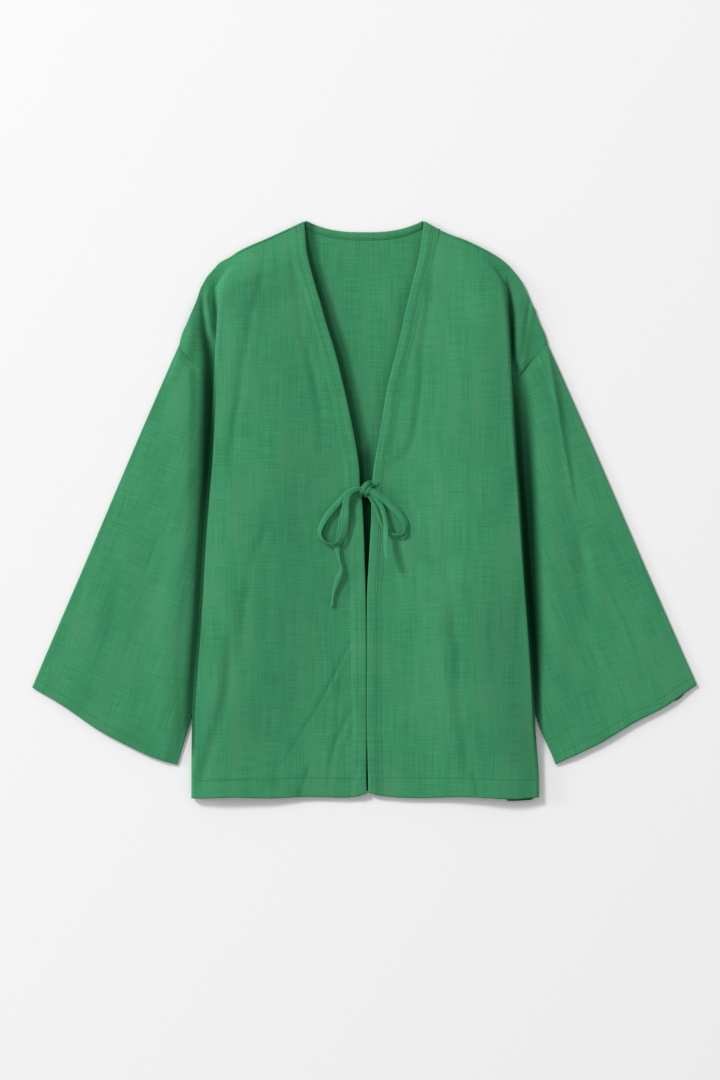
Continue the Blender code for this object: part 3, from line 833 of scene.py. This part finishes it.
sleeve = dict(
    gap={-1: 0.4, 1: 0.15}, seamLip=0.35, loft=3.2, leastLoft=0.2, wall=1.5, ply=1.8,
    coveredLoft=1.5, bareLoft=4.0, bareFrom=(4.0, 10.0),  # under the side fold, and out from under it
    roll=2.6, rollAt=18.0, rollFrom=(-4.0, 14.0), rollOut=(120, 40), rollAbove=(-330, 90),  # beside the dark gap
    lowBow={-1: 0.0, 1: 5.0}, lowBowFrom=(0.62, 0.22), lowBowTo=(1.0, -0.13),  # near the cuff, on the inner edge
    uneven=0.45, unevenSize=80.0, unevenSeed=11, edgeShare=0.04, seamShare=0.03, creasesFrom=12.0,
    alongStep=2.6, acrossColumns=90, edgeColumns=5, edgeBulge=1.2,
    seamShares=(0.0, 0.12, 0.30, 0.50, 0.70, 0.88, 1.0),  # where the armhole's points come across the sleeve
    tucked=1, tuckIn=2.2, tuckDown=1.25, cuffEnd=(0.9, 0.1), cuffWave=0.9, cuffWaves=15.0,
    # underDark and foldDark are painted shade: on the lower layer at the cuff, and under the body's side fold
    peek=2.6, peekFrom=(0.08, 0.03), peekTo=(0.2, -0.03), underDark=0.6, foldDark=0.9, foldIn=2.0, foldFade=3.0,
)
sleeveRows = columns("""
    along outerBow innerBow loft
    0 0 0 0
    0.06 0.3 0 0.35
    0.16 0.6 0.5 0.8
    0.28 0.8 1.5 1
    0.41 0.6 2.5 1
    0.54 0.2 3 1
    0.67 0 2.5 1
    0.80 0 1.5 1
    0.92 0 0.5 0.9
    1 0 0 0.8
""")
sleeveAcross = columns("""
    across share
    0 0
    0.05 0.32
    0.12 0.66
    0.22 0.92
    0.36 0.95
    0.50 0.9
    0.70 1
    0.88 0.9
    1 0.1
""")
cuff = columns("""
    across leftX leftY rightX rightY
    0 -414.4 -221.9 414.4 -220.6
    0.29 -360.6 -255.6 370 -248.5
    0.58 -308.1 -289.4 317 -278
    0.86 -255.6 -311.9 268 -305.5
    1 -235.6 -319.4 240 -317.5
""")
# Where the sleeve drops into the dark gap beside the body: its outer boundary
creviceLine = {
    -1: px("199 300  198 360  198 410  197 460  195 505  189 586  185 621  182 680  184 735"),
    1: px("514 300  516 350  523 380  528 410  533 460  536 510  538.6 551  541 621  542 669  541 704  539 735"),
}
sleeveCreases = {
    -1: [
        (1.5, 9.0, 0.0, px("193 345  192 400  190 440  186 500")),
        (-0.7, 12.0, 0.3, px("120 540  112 605  105 670")),
    ],
    1: [
        (2.8, 3.6, -2.0, px("544 322  547 345  551 370  556 400  561 432  567 466  575 510")),
        (-1.6, 9.0, 0.8, px("579 515  583 583  587 640")),
    ],
}
sleeveShades = {
    -1: [(0.05, 12.0, 0.0, px("120 560  112 605  105 657"))],
    1: [(0.34, 3.4, 0.0, px("543 322  547 340  551 356  556 374  561 398  566 428  574 470")),
        (0.05, 12.0, 0.0, px("579 515  583 583  587 640"))],
}


cuffRows = {}


def armhole(side):
    endY = levels["endY"][body["armholeTop"]:body["armpit"] + 1]
    return np.stack([lookUp(ends, sideNames[side] + "End", endY), endY], axis=1)


def outerDistance(x, y, side):
    # How far a point lies outwards of the gap's outer boundary
    line = throughPoints(creviceLine[side], 8.0)
    return side * (x - np.interp(-y, -line[:, 1], line[:, 0]))


def makeSleeve(side):
    name = sideNames[side]
    seam = armhole(side)
    length = math.dist(seam[0], seam[-1])
    gapX = side * (seam[0][1] - seam[-1][1]) / length * sleeve["gap"][side]
    gapY = -abs(seam[0][0] - seam[-1][0]) / length * sleeve["gap"][side]
    across = np.linspace(0, 1, sleeve["acrossColumns"])
    seamX = smoothRead(sleeve["seamShares"], seam[:, 0], across) + gapX
    seamY = smoothRead(sleeve["seamShares"], seam[:, 1], across) + gapY
    cuffX, cuffY = lookUp(cuff, name + "X", across), lookUp(cuff, name + "Y", across)
    longest = math.hypot(cuffX[0] - seamX[0], cuffY[0] - seamY[0])
    along = np.linspace(0, 1, int(longest / sleeve["alongStep"]) + 1)
    line = 1 - cuffLine["up"] / longest
    along = np.append(along, line + np.array([-1.0, 0.0, 1.0]) * cuffLine["half"] / longest)
    along = np.sort(np.append(along, sleeve["seamLip"] / longest))[:, None]
    cuffRow = nearest(along[:, 0], line)
    outerBow, innerBow, rowLoft = (lookUp(sleeveRows, key, along) for key in ("outerBow", "innerBow", "loft"))
    innerBow += sleeve["lowBow"][side] * (fade(along, *sleeve["lowBowFrom"]) * fade(along, *sleeve["lowBowTo"]))
    x = seamX * (1 - along) + cuffX * along + side * (outerBow * (1 - across) - innerBow * across)
    y = seamY * (1 - along) + cuffY * along
    fold = np.abs(lookUp(edges, name + "Fold", y))
    bare = sleeve["bareLoft"] * fade(np.abs(x) - fold, *sleeve["bareFrom"])
    loft = sleeve["loft"] * rowLoft * lookUp(sleeveAcross, "share", across)
    loft = np.minimum(loft, sleeve["coveredLoft"] * rowLoft + bare)
    out = outerDistance(x, y, side)
    roll = sleeve["roll"] * bell(out - sleeve["rollAt"], sleeve["rollAt"]) * fade(out, *sleeve["rollFrom"])
    roll *= fade(x * side, *sleeve["rollOut"]) * fade(y, *sleeve["rollAbove"])
    edge = ease(across / sleeve["edgeShare"]) * ease((1 - across) / sleeve["edgeShare"])
    shape = creaseHeight(x, y, sleeveCreases[side])
    shape += sleeve["uneven"] * wander(x, y, sleeve["unevenSize"], sleeve["unevenSeed"] + side)
    shape = roll + shape * ease(out / sleeve["creasesFrom"])
    loft = np.maximum(loft + shape * edge * ease(along / sleeve["seamShare"]), sleeve["leastLoft"])
    loft[cuffRow] -= cuffLine["groove"]
    half = body["cloth"] / 2
    # At the armhole the sleeve's edge tucks in between the body's two plies
    tuck = np.clip(1 - np.arange(len(along)) / sleeve["tucked"], 0, 1)[:, None]
    cuffEnd = fade(along, *sleeve["cuffEnd"])
    y = y + cuffEnd * sleeve["cuffWave"] * np.sin(across * sleeve["cuffWaves"] + side)
    direction = np.array([cuffX.mean() - seamX.mean(), cuffY.mean() - seamY.mean()])
    x = x - side * sleeve["tuckIn"] * tuck * direction[0] * side / longest
    y = y - sleeve["tuckIn"] * tuck * direction[1] / longest
    top = np.stack([x, y, sleeve["ply"] + sleeve["wall"] + loft - half - sleeve["tuckDown"] * tuck], axis=-1)
    # The lower layer lies on the surface, and round edges join the two
    peek = cuffEnd * sleeve["peek"] * fade(across, *sleeve["peekFrom"])
    peek *= fade(across, *sleeve["peekTo"]) * (side > 0)
    low = np.stack([x, y - peek, np.full(x.shape, half)], axis=-1)[:, ::-3]
    inward = unit(np.stack([x[:, -1] - x[:, 0], y[:, -1] - y[:, 0]], axis=-1))
    count = sleeve["edgeColumns"]
    bends = []
    for first, last, sign in ((top[:, -1], low[:, 0], 1.0), (low[:, -1], top[:, 0], -1.0)):
        bend = []
        for step in range(1, count + 1):
            angle = math.pi * step / (count + 1)
            point = first + (last - first) * ((1 - math.cos(angle)) / 2)
            bend.append(point + np.pad(inward * sign * math.sin(angle) * sleeve["edgeBulge"], ((0, 0), (0, 1))))
        bends.append(np.stack(bend, axis=1))
    grid = np.concatenate([top, bends[0], low, bends[1]], axis=1)
    direction = unit(direction)
    flat = np.stack([grid[..., 0] * direction[1] - grid[..., 1] * direction[0],
                     grid[..., 0] * direction[0] + grid[..., 1] * direction[1]], axis=-1)
    shade = np.zeros(grid.shape[:2])
    # Painted shade in the dark gap, under the body's side fold and in the cuff's groove
    inside = ease((fold - sleeve["foldIn"] - np.abs(x)) / sleeve["foldFade"])
    dark = np.maximum(gapShade(x, y, side), sleeve["foldDark"] * inside)
    dark[cuffRow] += cuffLine["dark"]
    shade[:, :top.shape[1]] = np.clip(dark + creaseHeight(x, y, sleeveShades[side]), 0, 1)
    lowStart = top.shape[1] + count
    # Painted shade on the lower layer's last rows at the cuff
    shade[-2:, lowStart:lowStart + low.shape[1]] = sleeve["underDark"]
    cuffRows[side] = top[cuffRow] + np.array([0.0, 0.0, half])
    return makePanel("sleeve_" + name + "_cloth", grid, flat, shade, ["sleeve_" + name], around=True)


sleeves = {side: makeSleeve(side) for side in (-1, 1)}
print("sleeves made")


# Bands: a folded strip over each front's edge and inside the back neck

band = dict(
    # dark and neckDark are painted shade in the bands' sewn grooves
    neckHalf=73.0, cloth=0.8, dark={-1: 0.26, 1: 0.5}, neckGroove=7, neckDark=0.2, neckColumns=61,
    hemFrom=7, flatFrom=8, reach=18.5,  # points of the section where the hem's line and the flat top start
    frontColumns=16, beyond=20,  # columns of the front under the band, and one beyond it
)
bandGrids = {}
bandGrooves = (8.9, 11.3)
# Cross-section: distance in from the edge and height above the front's fold line
bandSection = np.array([
    (7.0, 0.35), (3.0, 0.30), (0.2, 0.35), (-0.75, 0.85), (-1.0, 1.5), (-0.75, 2.1), (-0.1, 2.45), (0.8, 2.55),
    (3.0, 2.55), (6.0, 2.50), (8.2, 2.42), (8.9, 2.20), (9.6, 2.36), (10.6, 2.32), (11.3, 2.05), (12.1, 2.08),
    (13.6, 1.9), (15.4, 1.62), (17.4, 1.32), (19.0, 1.12)])
neckSection = ((-0.9, 0.9), (-1.0, 1.7), (-0.4, 2.3), (0.6, 2.5), (2.8, 2.5), (4.6, 2.3), (5.8, 1.95), (6.8, 1.6),
               (7.4, 1.42), (8.0, 1.15), (8.5, 0.85))


onBand = np.array([0.0, 0.0, band["cloth"] / 2])
grooveColumns = [nearest(bandSection[:, 0], groove) for groove in bandGrooves]


def makeBand(side):
    x, y, z = np.moveaxis(frontGrids[side][:, :band["frontColumns"]], -1, 0)
    rows = []
    for edge, lineY, lineZ, inwards in zip(x[:, 0], y, z, np.abs(x - x[:, :1])):
        rows.append([(edge + side * distance, np.interp(distance, inwards, lineY),
                      np.interp(distance, inwards, lineZ) + height) for distance, height in bandSection])
    grid = np.array(rows)
    shade = np.zeros(grid.shape[:2])
    # Painted shade in the two sewn grooves, darker on the right band, and in the hem's groove
    shade[:, grooveColumns] = band["dark"][side]
    hemRow = shade[nearest(grid[:, band["flatFrom"], 1] - body["hemY"], hemLine["up"])]
    hemRow[band["hemFrom"]:] = np.maximum(hemRow[band["hemFrom"]:], hemLine["dark"])
    bandGrids[side] = grid
    flat = np.stack([np.broadcast_to(runAlong(bandSection), grid.shape[:2]), grid[..., 1]], axis=-1)
    name = "band_" + sideNames[side]
    return makePanel(name + "_cloth", grid, flat, shade, [name], thickness=band["cloth"], material=bandCloth)


def makeNeckBand():
    x = band["neckHalf"] * np.linspace(-1, 1, band["neckColumns"])  # its ends lie under the front bands
    grid = np.array([np.stack([x, topLine(x, 1) - depth, np.full(x.shape, height)], axis=-1)
                     for depth, height in neckSection])
    shade = np.zeros(grid.shape[:2])
    # Painted shade in the neck band's groove and the neck edges' painted shadow
    shade[band["neckGroove"]] = band["neckDark"]
    shade = np.maximum(shade, neckShade(grid[..., 0], grid[..., 1]))
    bandGrids[0] = grid
    return makePanel("band_back_neck_cloth", grid, grid[..., :2], shade, ["band_back_neck"],
                     thickness=band["cloth"], material=bandCloth)


bands = {side: makeBand(side) for side in (-1, 1)}
neckBand = makeNeckBand()
print("bands made")


# Stitches: small rounded grains of thread in rows, joined into one mesh for each place

def stitchPoints(route):
    run = runAlong(route)
    middles = np.arange(stitch["pitch"], run[-1] - stitch["pitch"], stitch["pitch"])
    middle, ahead = (np.stack([np.interp(middles + shift, run, route[:, axis]) for axis in range(3)], axis=1)
                     for shift in (0.0, 0.5))
    along = unit(ahead - middle)
    beside = np.cross(along, (0.0, 0.0, 1.0))
    up = np.cross(beside, along)
    grains = [middle - along * stitch["long"] / 2]
    for share in (-0.25, 0.25):
        for sideways, rise in ((1, 0), (0, 1), (-1, 0), (0, -1)):
            grains.append(middle + along * stitch["long"] * share + beside * stitch["wide"] / 2 * sideways
                          + up * stitch["high"] * rise)
    grains.append(middle + along * stitch["long"] / 2)
    return np.stack(grains, axis=1)


def facingOut(points, faces):
    return [face[::-1] for face in faces] if signedVolume(points, faces) < 0 else faces


def makeStitches(name, routes, material):
    grains = np.concatenate([stitchPoints(route) for route in routes])
    faces = []
    for first in range(0, grains.shape[0] * grains.shape[1], grains.shape[1]):
        for step in range(4):
            after = (step + 1) % 4
            faces.append([first, first + 1 + after, first + 1 + step])
            faces.append([first + 1 + step, first + 1 + after, first + 5 + after, first + 5 + step])
            faces.append([first + 9, first + 5 + step, first + 5 + after])
    points = grains.reshape(-1, 3)
    piece = makeObject(name, points, facingOut(points, faces), material, points[:, :2] * stitch["flatScale"],
                       np.full(len(points), stitch["dark"]))
    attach(piece, "root")
    return piece


def hemRoute(side):
    # Along the hem's groove, over the band and then the front, to the side fold
    front, strip = frontGrids[side], bandGrids[side]
    row = nearest(front[:, band["beyond"], 1] - body["hemY"], hemLine["up"])
    onFront = np.array([0.0, 0.0, body["wall"] + body["seamGap"] / 2 + 0.02])
    surface = front[row, :body["mainColumns"]] + onFront
    past = np.abs(surface[:, 0] - front[row, 0, 0]) > band["reach"]
    return np.vstack([strip[row, band["flatFrom"]:-1] + onBand, surface[past]])


bandStitches = makeStitches("stitches_bands", [
    bandGrids[side][:, column] + onBand for side in (-1, 1) for column in grooveColumns], bandCloth)
neckStitches = makeStitches("stitches_neck", [bandGrids[0][band["neckGroove"]] + onBand], bandCloth)
hemStitches = makeStitches("stitches_hem", [hemRoute(side) for side in (-1, 1)], jacketCloth)
cuffStitches = makeStitches("stitches_cuffs", [cuffRows[side][3:-3] for side in (-1, 1)], jacketCloth)
print("stitches made")


# Bow: flat ties, each stretch a route of six numbers a point: its place in the front view, its height, the turn
# of its width about the route in degrees, its width and its thickness

tie = dict(
    # dark is painted shade along each tie's sewn line
    step=1.6, across=13, groove=0.5, cup=0.55, seamAt=0.5, seamWide=0.1, edgeThin=0.4, dark=0.34,
    nearKnot=0.45, nearFrom=4.0, nearWide=6.5, underKnot=15.5,  # shade where a stretch passes under the knot
    twist=3.5, swell=0.025, flatHalf=4.5, flatApart=20,
)
tieRoutes = dict(
    tie_loop_left="""
    362.5 489.6 13.6 10 5.6 1.2  357 489 13.6 12 6 1.2  351 490.8 13.4 12 6.6 1.1  344.6 496.2 12.9 8 7.4 1.1
    336.4 504.8 12.3 5 8 1.1  328.6 513.8 11.9 8 8 1.1  322.4 523.2 12 22 8 1.1  319.2 531.4 12.6 50 7.6 1.1
    321.2 538.8 13 66 7.4 1.1  327.2 543.8 13.2 72 7.4 1.1  334.2 545.2 13.4 64 7.4 1.1
    340 541.8 13.9 40 8.2 1.1  343.4 534.2 14.4 18 9.2 1.1  345 524 14.8 4 9.8 1.1  345.4 513 15.2 -4 9.8 1.1
    346 503.8 15.8 -4 8.8 1.1  347.8 496.4 16.4 4 7.8 1.2  352.2 491.6 17 18 6.6 1.3  358 489.6 17 30 6 1.3
    362.8 489.4 16.4 30 5.6 1.3""",
    tie_tail_left="""
    360.5 491.5 11.4 0 5 1.2  353 493.8 10.8 0 6 1.1  346.4 502 10.4 0 7 1.1  342.6 514 10.2 0 7.4 1.1
    340.6 527 10 0 7.4 1.1  338.2 539 10.6 0 7.2 1.1  337.2 549 12 8 6.6 1.1  338.2 557 12.8 36 5.2 1.1
    339.8 563.4 13.4 70 4.4 1.1  340.6 569.6 13.2 44 5.4 1.1  339 576.6 12.6 12 7.4 1.1
    336 584 11.8 6 6.6 1.1  333.6 592 10.8 20 4.8 1.3  332.8 599.6 10.2 30 3.2 1.6  332.5 603.2 10 0 4.6 2.6
    332.2 606.4 9.8 0 4 2.2""",
    tie_loop_right="""
    367 489.2 14.8 -16 6.4 1.3  374 492 15.8 -14 7.8 1.2  380.4 496.4 15.8 -8 8.8 1.1
    387.4 502.2 15.4 -2 9.4 1.1  394.4 509 15 0 9.4 1.1  400.8 516.4 14.6 -6 9.2 1.1
    405.4 524.4 14 -26 8.4 1.1  406.4 531 13.6 -50 8 1.1  402.8 535.4 13.4 -54 7.8 1.1
    397.2 536.4 13.2 -44 7.4 1.1  391.6 535.2 12.8 -34 7.2 1.1  387.2 532.2 12.4 -20 7 1.1""",
    tie_return_right="""
    367.4 493.4 12.6 0 5.6 1.2  371.4 498.4 12.2 -6 6 1.1  375.2 506 11.6 -8 6.2 1.1
    378.2 514.6 11.2 -6 6.2 1.1  381.4 523 11 -4 6 1.1  385.4 530 11.2 0 6 1.1""",
    tie_tail_right="""
    368.6 491.8 15 6 5.8 1.2  374.6 496.6 14.6 8 6.6 1.1  379.8 503.8 14.2 6 6.8 1.1
    383.2 512.6 14.4 6 6.4 1.1  385.2 522 15.4 12 5.8 1.1  385.4 531.6 18.6 30 7 1.1  385 541 22.2 42 8 1
    385.4 550.6 25.4 48 8 1  386.2 559 27.6 52 5.6 0.9""",
    tie_root_left="""
    349.6 500.6 9.6 0 5 1.1  354 496 9.9 10 4.8 1.1  361.6 492.4 11.6 15 4.4 1.1""",
    tie_root_right="""
    377.6 483.8 9.3 0 5.4 1.1  372.2 484.2 10.4 6 5.2 1.1  366.6 485.2 14 20 4.6 1.1""",
)
knot = dict(
    middle=px("365 489.8")[0], size=(10.5, 13.0, 7.0), bottom=9.2, sides=36, rings=16, dark=0.12, uneven=0.3,
    lifts=(0, 0.3, 0.7, 0.93, 1.0), spreads=(0.72, 1.0, 0.92, 0.5, 0.05),  # how wide it is up its height
)
knotWraps = (
    """361 496.6 9.8 0 4.6 1.2  361.4 494.6 13.4 0 5.6 1.2  362.4 491 16.4 0 6.4 1.2
    364.2 487.2 17.6 0 6.6 1.2  366.6 484.2 17 0 6 1.2  369.4 482.6 14.4 0 5.2 1.2  371.6 482.2 11 0 4.6 1.2""",
    """371.8 484.6 10.4 0 4.4 1.2  371 485.6 13.6 0 5.4 1.2  369.4 488 15.9 0 6 1.2  367.8 491.4 16.2 0 6 1.2
    366.6 494.6 14.6 0 5.2 1.2  366 497 11.2 0 4.2 1.2""",
)


def makeSolid(name, points, faces, flat, shade, node):
    piece = makeObject(name, points, faces, tieCloth, flat, shade)
    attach(piece, "root")
    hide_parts(node)
    return piece


def closeGrid(grid):
    # Rings of points joined into a closed skin whose faces point out
    wide = grid.shape[1]
    faces = sheetFaces(np.ones(grid.shape[:2], dtype=bool), around=True)
    faces.append(list(range(wide))[::-1])
    faces.append(list(range(len(grid) * wide - wide, len(grid) * wide)))
    points = grid.reshape(-1, 3)
    return points, facingOut(points, faces)


def stripSkin(route, seed):
    # A flat tie, folded along its length: cupped a little, with a sewn line near one edge that gets painted shade
    path = throughPoints(px(route, 6), tie["step"])
    points = path[:, :3]
    down = np.arange(len(path)) * tie["step"]
    tangent = unit(np.gradient(points, axis=0))
    level = unit(np.cross((0.0, 0.0, 1.0), tangent))
    rise = np.cross(tangent, level)
    uneven = np.sin(down / 5.2 + seed) + 0.7 * np.sin(down / 2.9 + 2.1 * seed)
    turn = np.radians(path[:, 3] + tie["twist"] * uneven)[:, None]
    width = level * np.cos(turn) + rise * np.sin(turn)
    thick = np.cross(tangent, width)
    half = path[:, 4:5] / 2 * (1 + tie["swell"] * np.sin(down / 4.1 + 3 * seed))[:, None]
    ring, run, shade = [], [], []
    for sign in (1.0, -1.0):
        for share in np.linspace(-1, 1, tie["across"]) * sign:
            seam = math.exp(-((share * sign - tie["seamAt"]) / tie["seamWide"]) ** 2)
            edge = tie["edgeThin"] if abs(share) > 0.99 else 1.0
            ring.append(points + width * half * share - thick * tie["cup"] * share ** 2
                        + thick * sign * path[:, 5:6] / 2 * edge * (1 - tie["groove"] * seam))
            run.append(tie["flatHalf"] * share + (0 if sign > 0 else tie["flatApart"]))
            shade.append(tie["dark"] * seam)
    grid = np.stack(ring, axis=1)
    size = grid.shape[:2]
    flat = np.stack([np.broadcast_to(run, size), np.broadcast_to(down[:, None], size)], axis=-1)
    toKnot = np.hypot(path[:, 0] - knot["middle"][0], path[:, 1] - knot["middle"][1])
    near = tie["nearKnot"] * bell(toKnot - tie["nearFrom"], tie["nearWide"]) * (path[:, 2] < tie["underKnot"])
    shade = np.minimum(np.broadcast_to(shade, size) + near[:, None], 1.0)
    return *closeGrid(grid), flat.reshape(-1, 2), shade.reshape(-1)


def makeTie(name, route):
    return makeSolid(name + "_cloth", *stripSkin(route, len(name)), name)


def makeKnot():
    # A rounded core with the two turns that cross it
    rows = []
    angle = np.linspace(0, 2 * math.pi, knot["sides"], endpoint=False)
    for ring in range(knot["rings"] + 1):
        lift = ring / knot["rings"]
        spread = float(smoothRead(knot["lifts"], knot["spreads"], lift))
        x = knot["middle"][0] + knot["size"][0] / 2 * spread * np.cos(angle)
        y = knot["middle"][1] + knot["size"][1] / 2 * spread * np.sin(angle)
        z = knot["bottom"] + knot["size"][2] * lift + knot["uneven"] * lift * np.sin(x * 0.9 - y * 0.5)
        rows.append(np.stack([x, y, z], axis=-1))
    points, faces = closeGrid(np.array(rows))
    flat, shade = points[:, :2], np.full(len(points), knot["dark"])
    for number, route in enumerate(knotWraps):
        wrapPoints, wrapFaces, wrapFlat, wrapShade = stripSkin(route, number)
        faces = faces + [[corner + len(points) for corner in face] for face in wrapFaces]
        points, flat = np.vstack([points, wrapPoints]), np.vstack([flat, wrapFlat])
        shade = np.concatenate([shade, wrapShade])
    return makeSolid("tie_knot_cloth", points, faces, flat, shade, "tie_knot")


ties = {name: makeTie(name, route) for name, route in tieRoutes.items()}
tieKnot = makeKnot()
print("bow made")


# Floor, light and camera

studio = dict(
    floorSize=6.0, floorBelow=0.0002, floorColour=(0.82, 0.82, 0.82, 1.0), floorRoughness=0.9, floorShine=0.1,
    skyStrength=0.58, aim=(-5.6, -38.1), frameHigh=1350.0, distance=3.2, sensor=36.0,
)
lights = dict(
    key=dict(place=(-7.6, 7.0, 7.4), size=2.4, power=1180.0),
    low=dict(place=(-8.0, 1.2, 2.3), size=1.6, power=210.0),
)


def makeStudio():
    bpy.ops.mesh.primitive_plane_add(size=studio["floorSize"], location=(0, 0, -studio["floorBelow"]))
    floor = bpy.context.active_object
    floor.name = "floor"
    floor.data.materials.append(Finish("floor paper").finish(
        Base_Color=studio["floorColour"], Roughness=studio["floorRoughness"],
        Specular_IOR_Level=studio["floorShine"]))
    world = bpy.data.worlds.new("studio")
    bpy.context.scene.world = world
    world.use_nodes = True
    sky = world.node_tree.nodes["Background"]
    sky.inputs["Color"].default_value = (1.0, 1.0, 1.0, 1.0)
    sky.inputs["Strength"].default_value = studio["skyStrength"]
    for name, look in lights.items():
        bpy.ops.object.light_add(type="AREA", location=look["place"])
        light = bpy.context.active_object
        light.name = name
        light.data.size, light.data.energy = look["size"], look["power"]
        light.rotation_euler = (-light.location).to_track_quat("-Z", "Y").to_euler()
    cameraData = bpy.data.cameras.new("camera")
    camera = bpy.data.objects.new("camera", cameraData)
    bpy.context.collection.objects.link(camera)
    camera.location = (studio["aim"][0] * mm, studio["aim"][1] * mm, studio["distance"])
    cameraData.sensor_fit = "VERTICAL"
    cameraData.sensor_height = studio["sensor"]
    cameraData.lens = studio["sensor"] * studio["distance"] / (studio["frameHigh"] * mm)
    bpy.context.scene.camera = camera
    bpy.context.scene.view_settings.view_transform = "Standard"


makeStudio()
print("studio made")
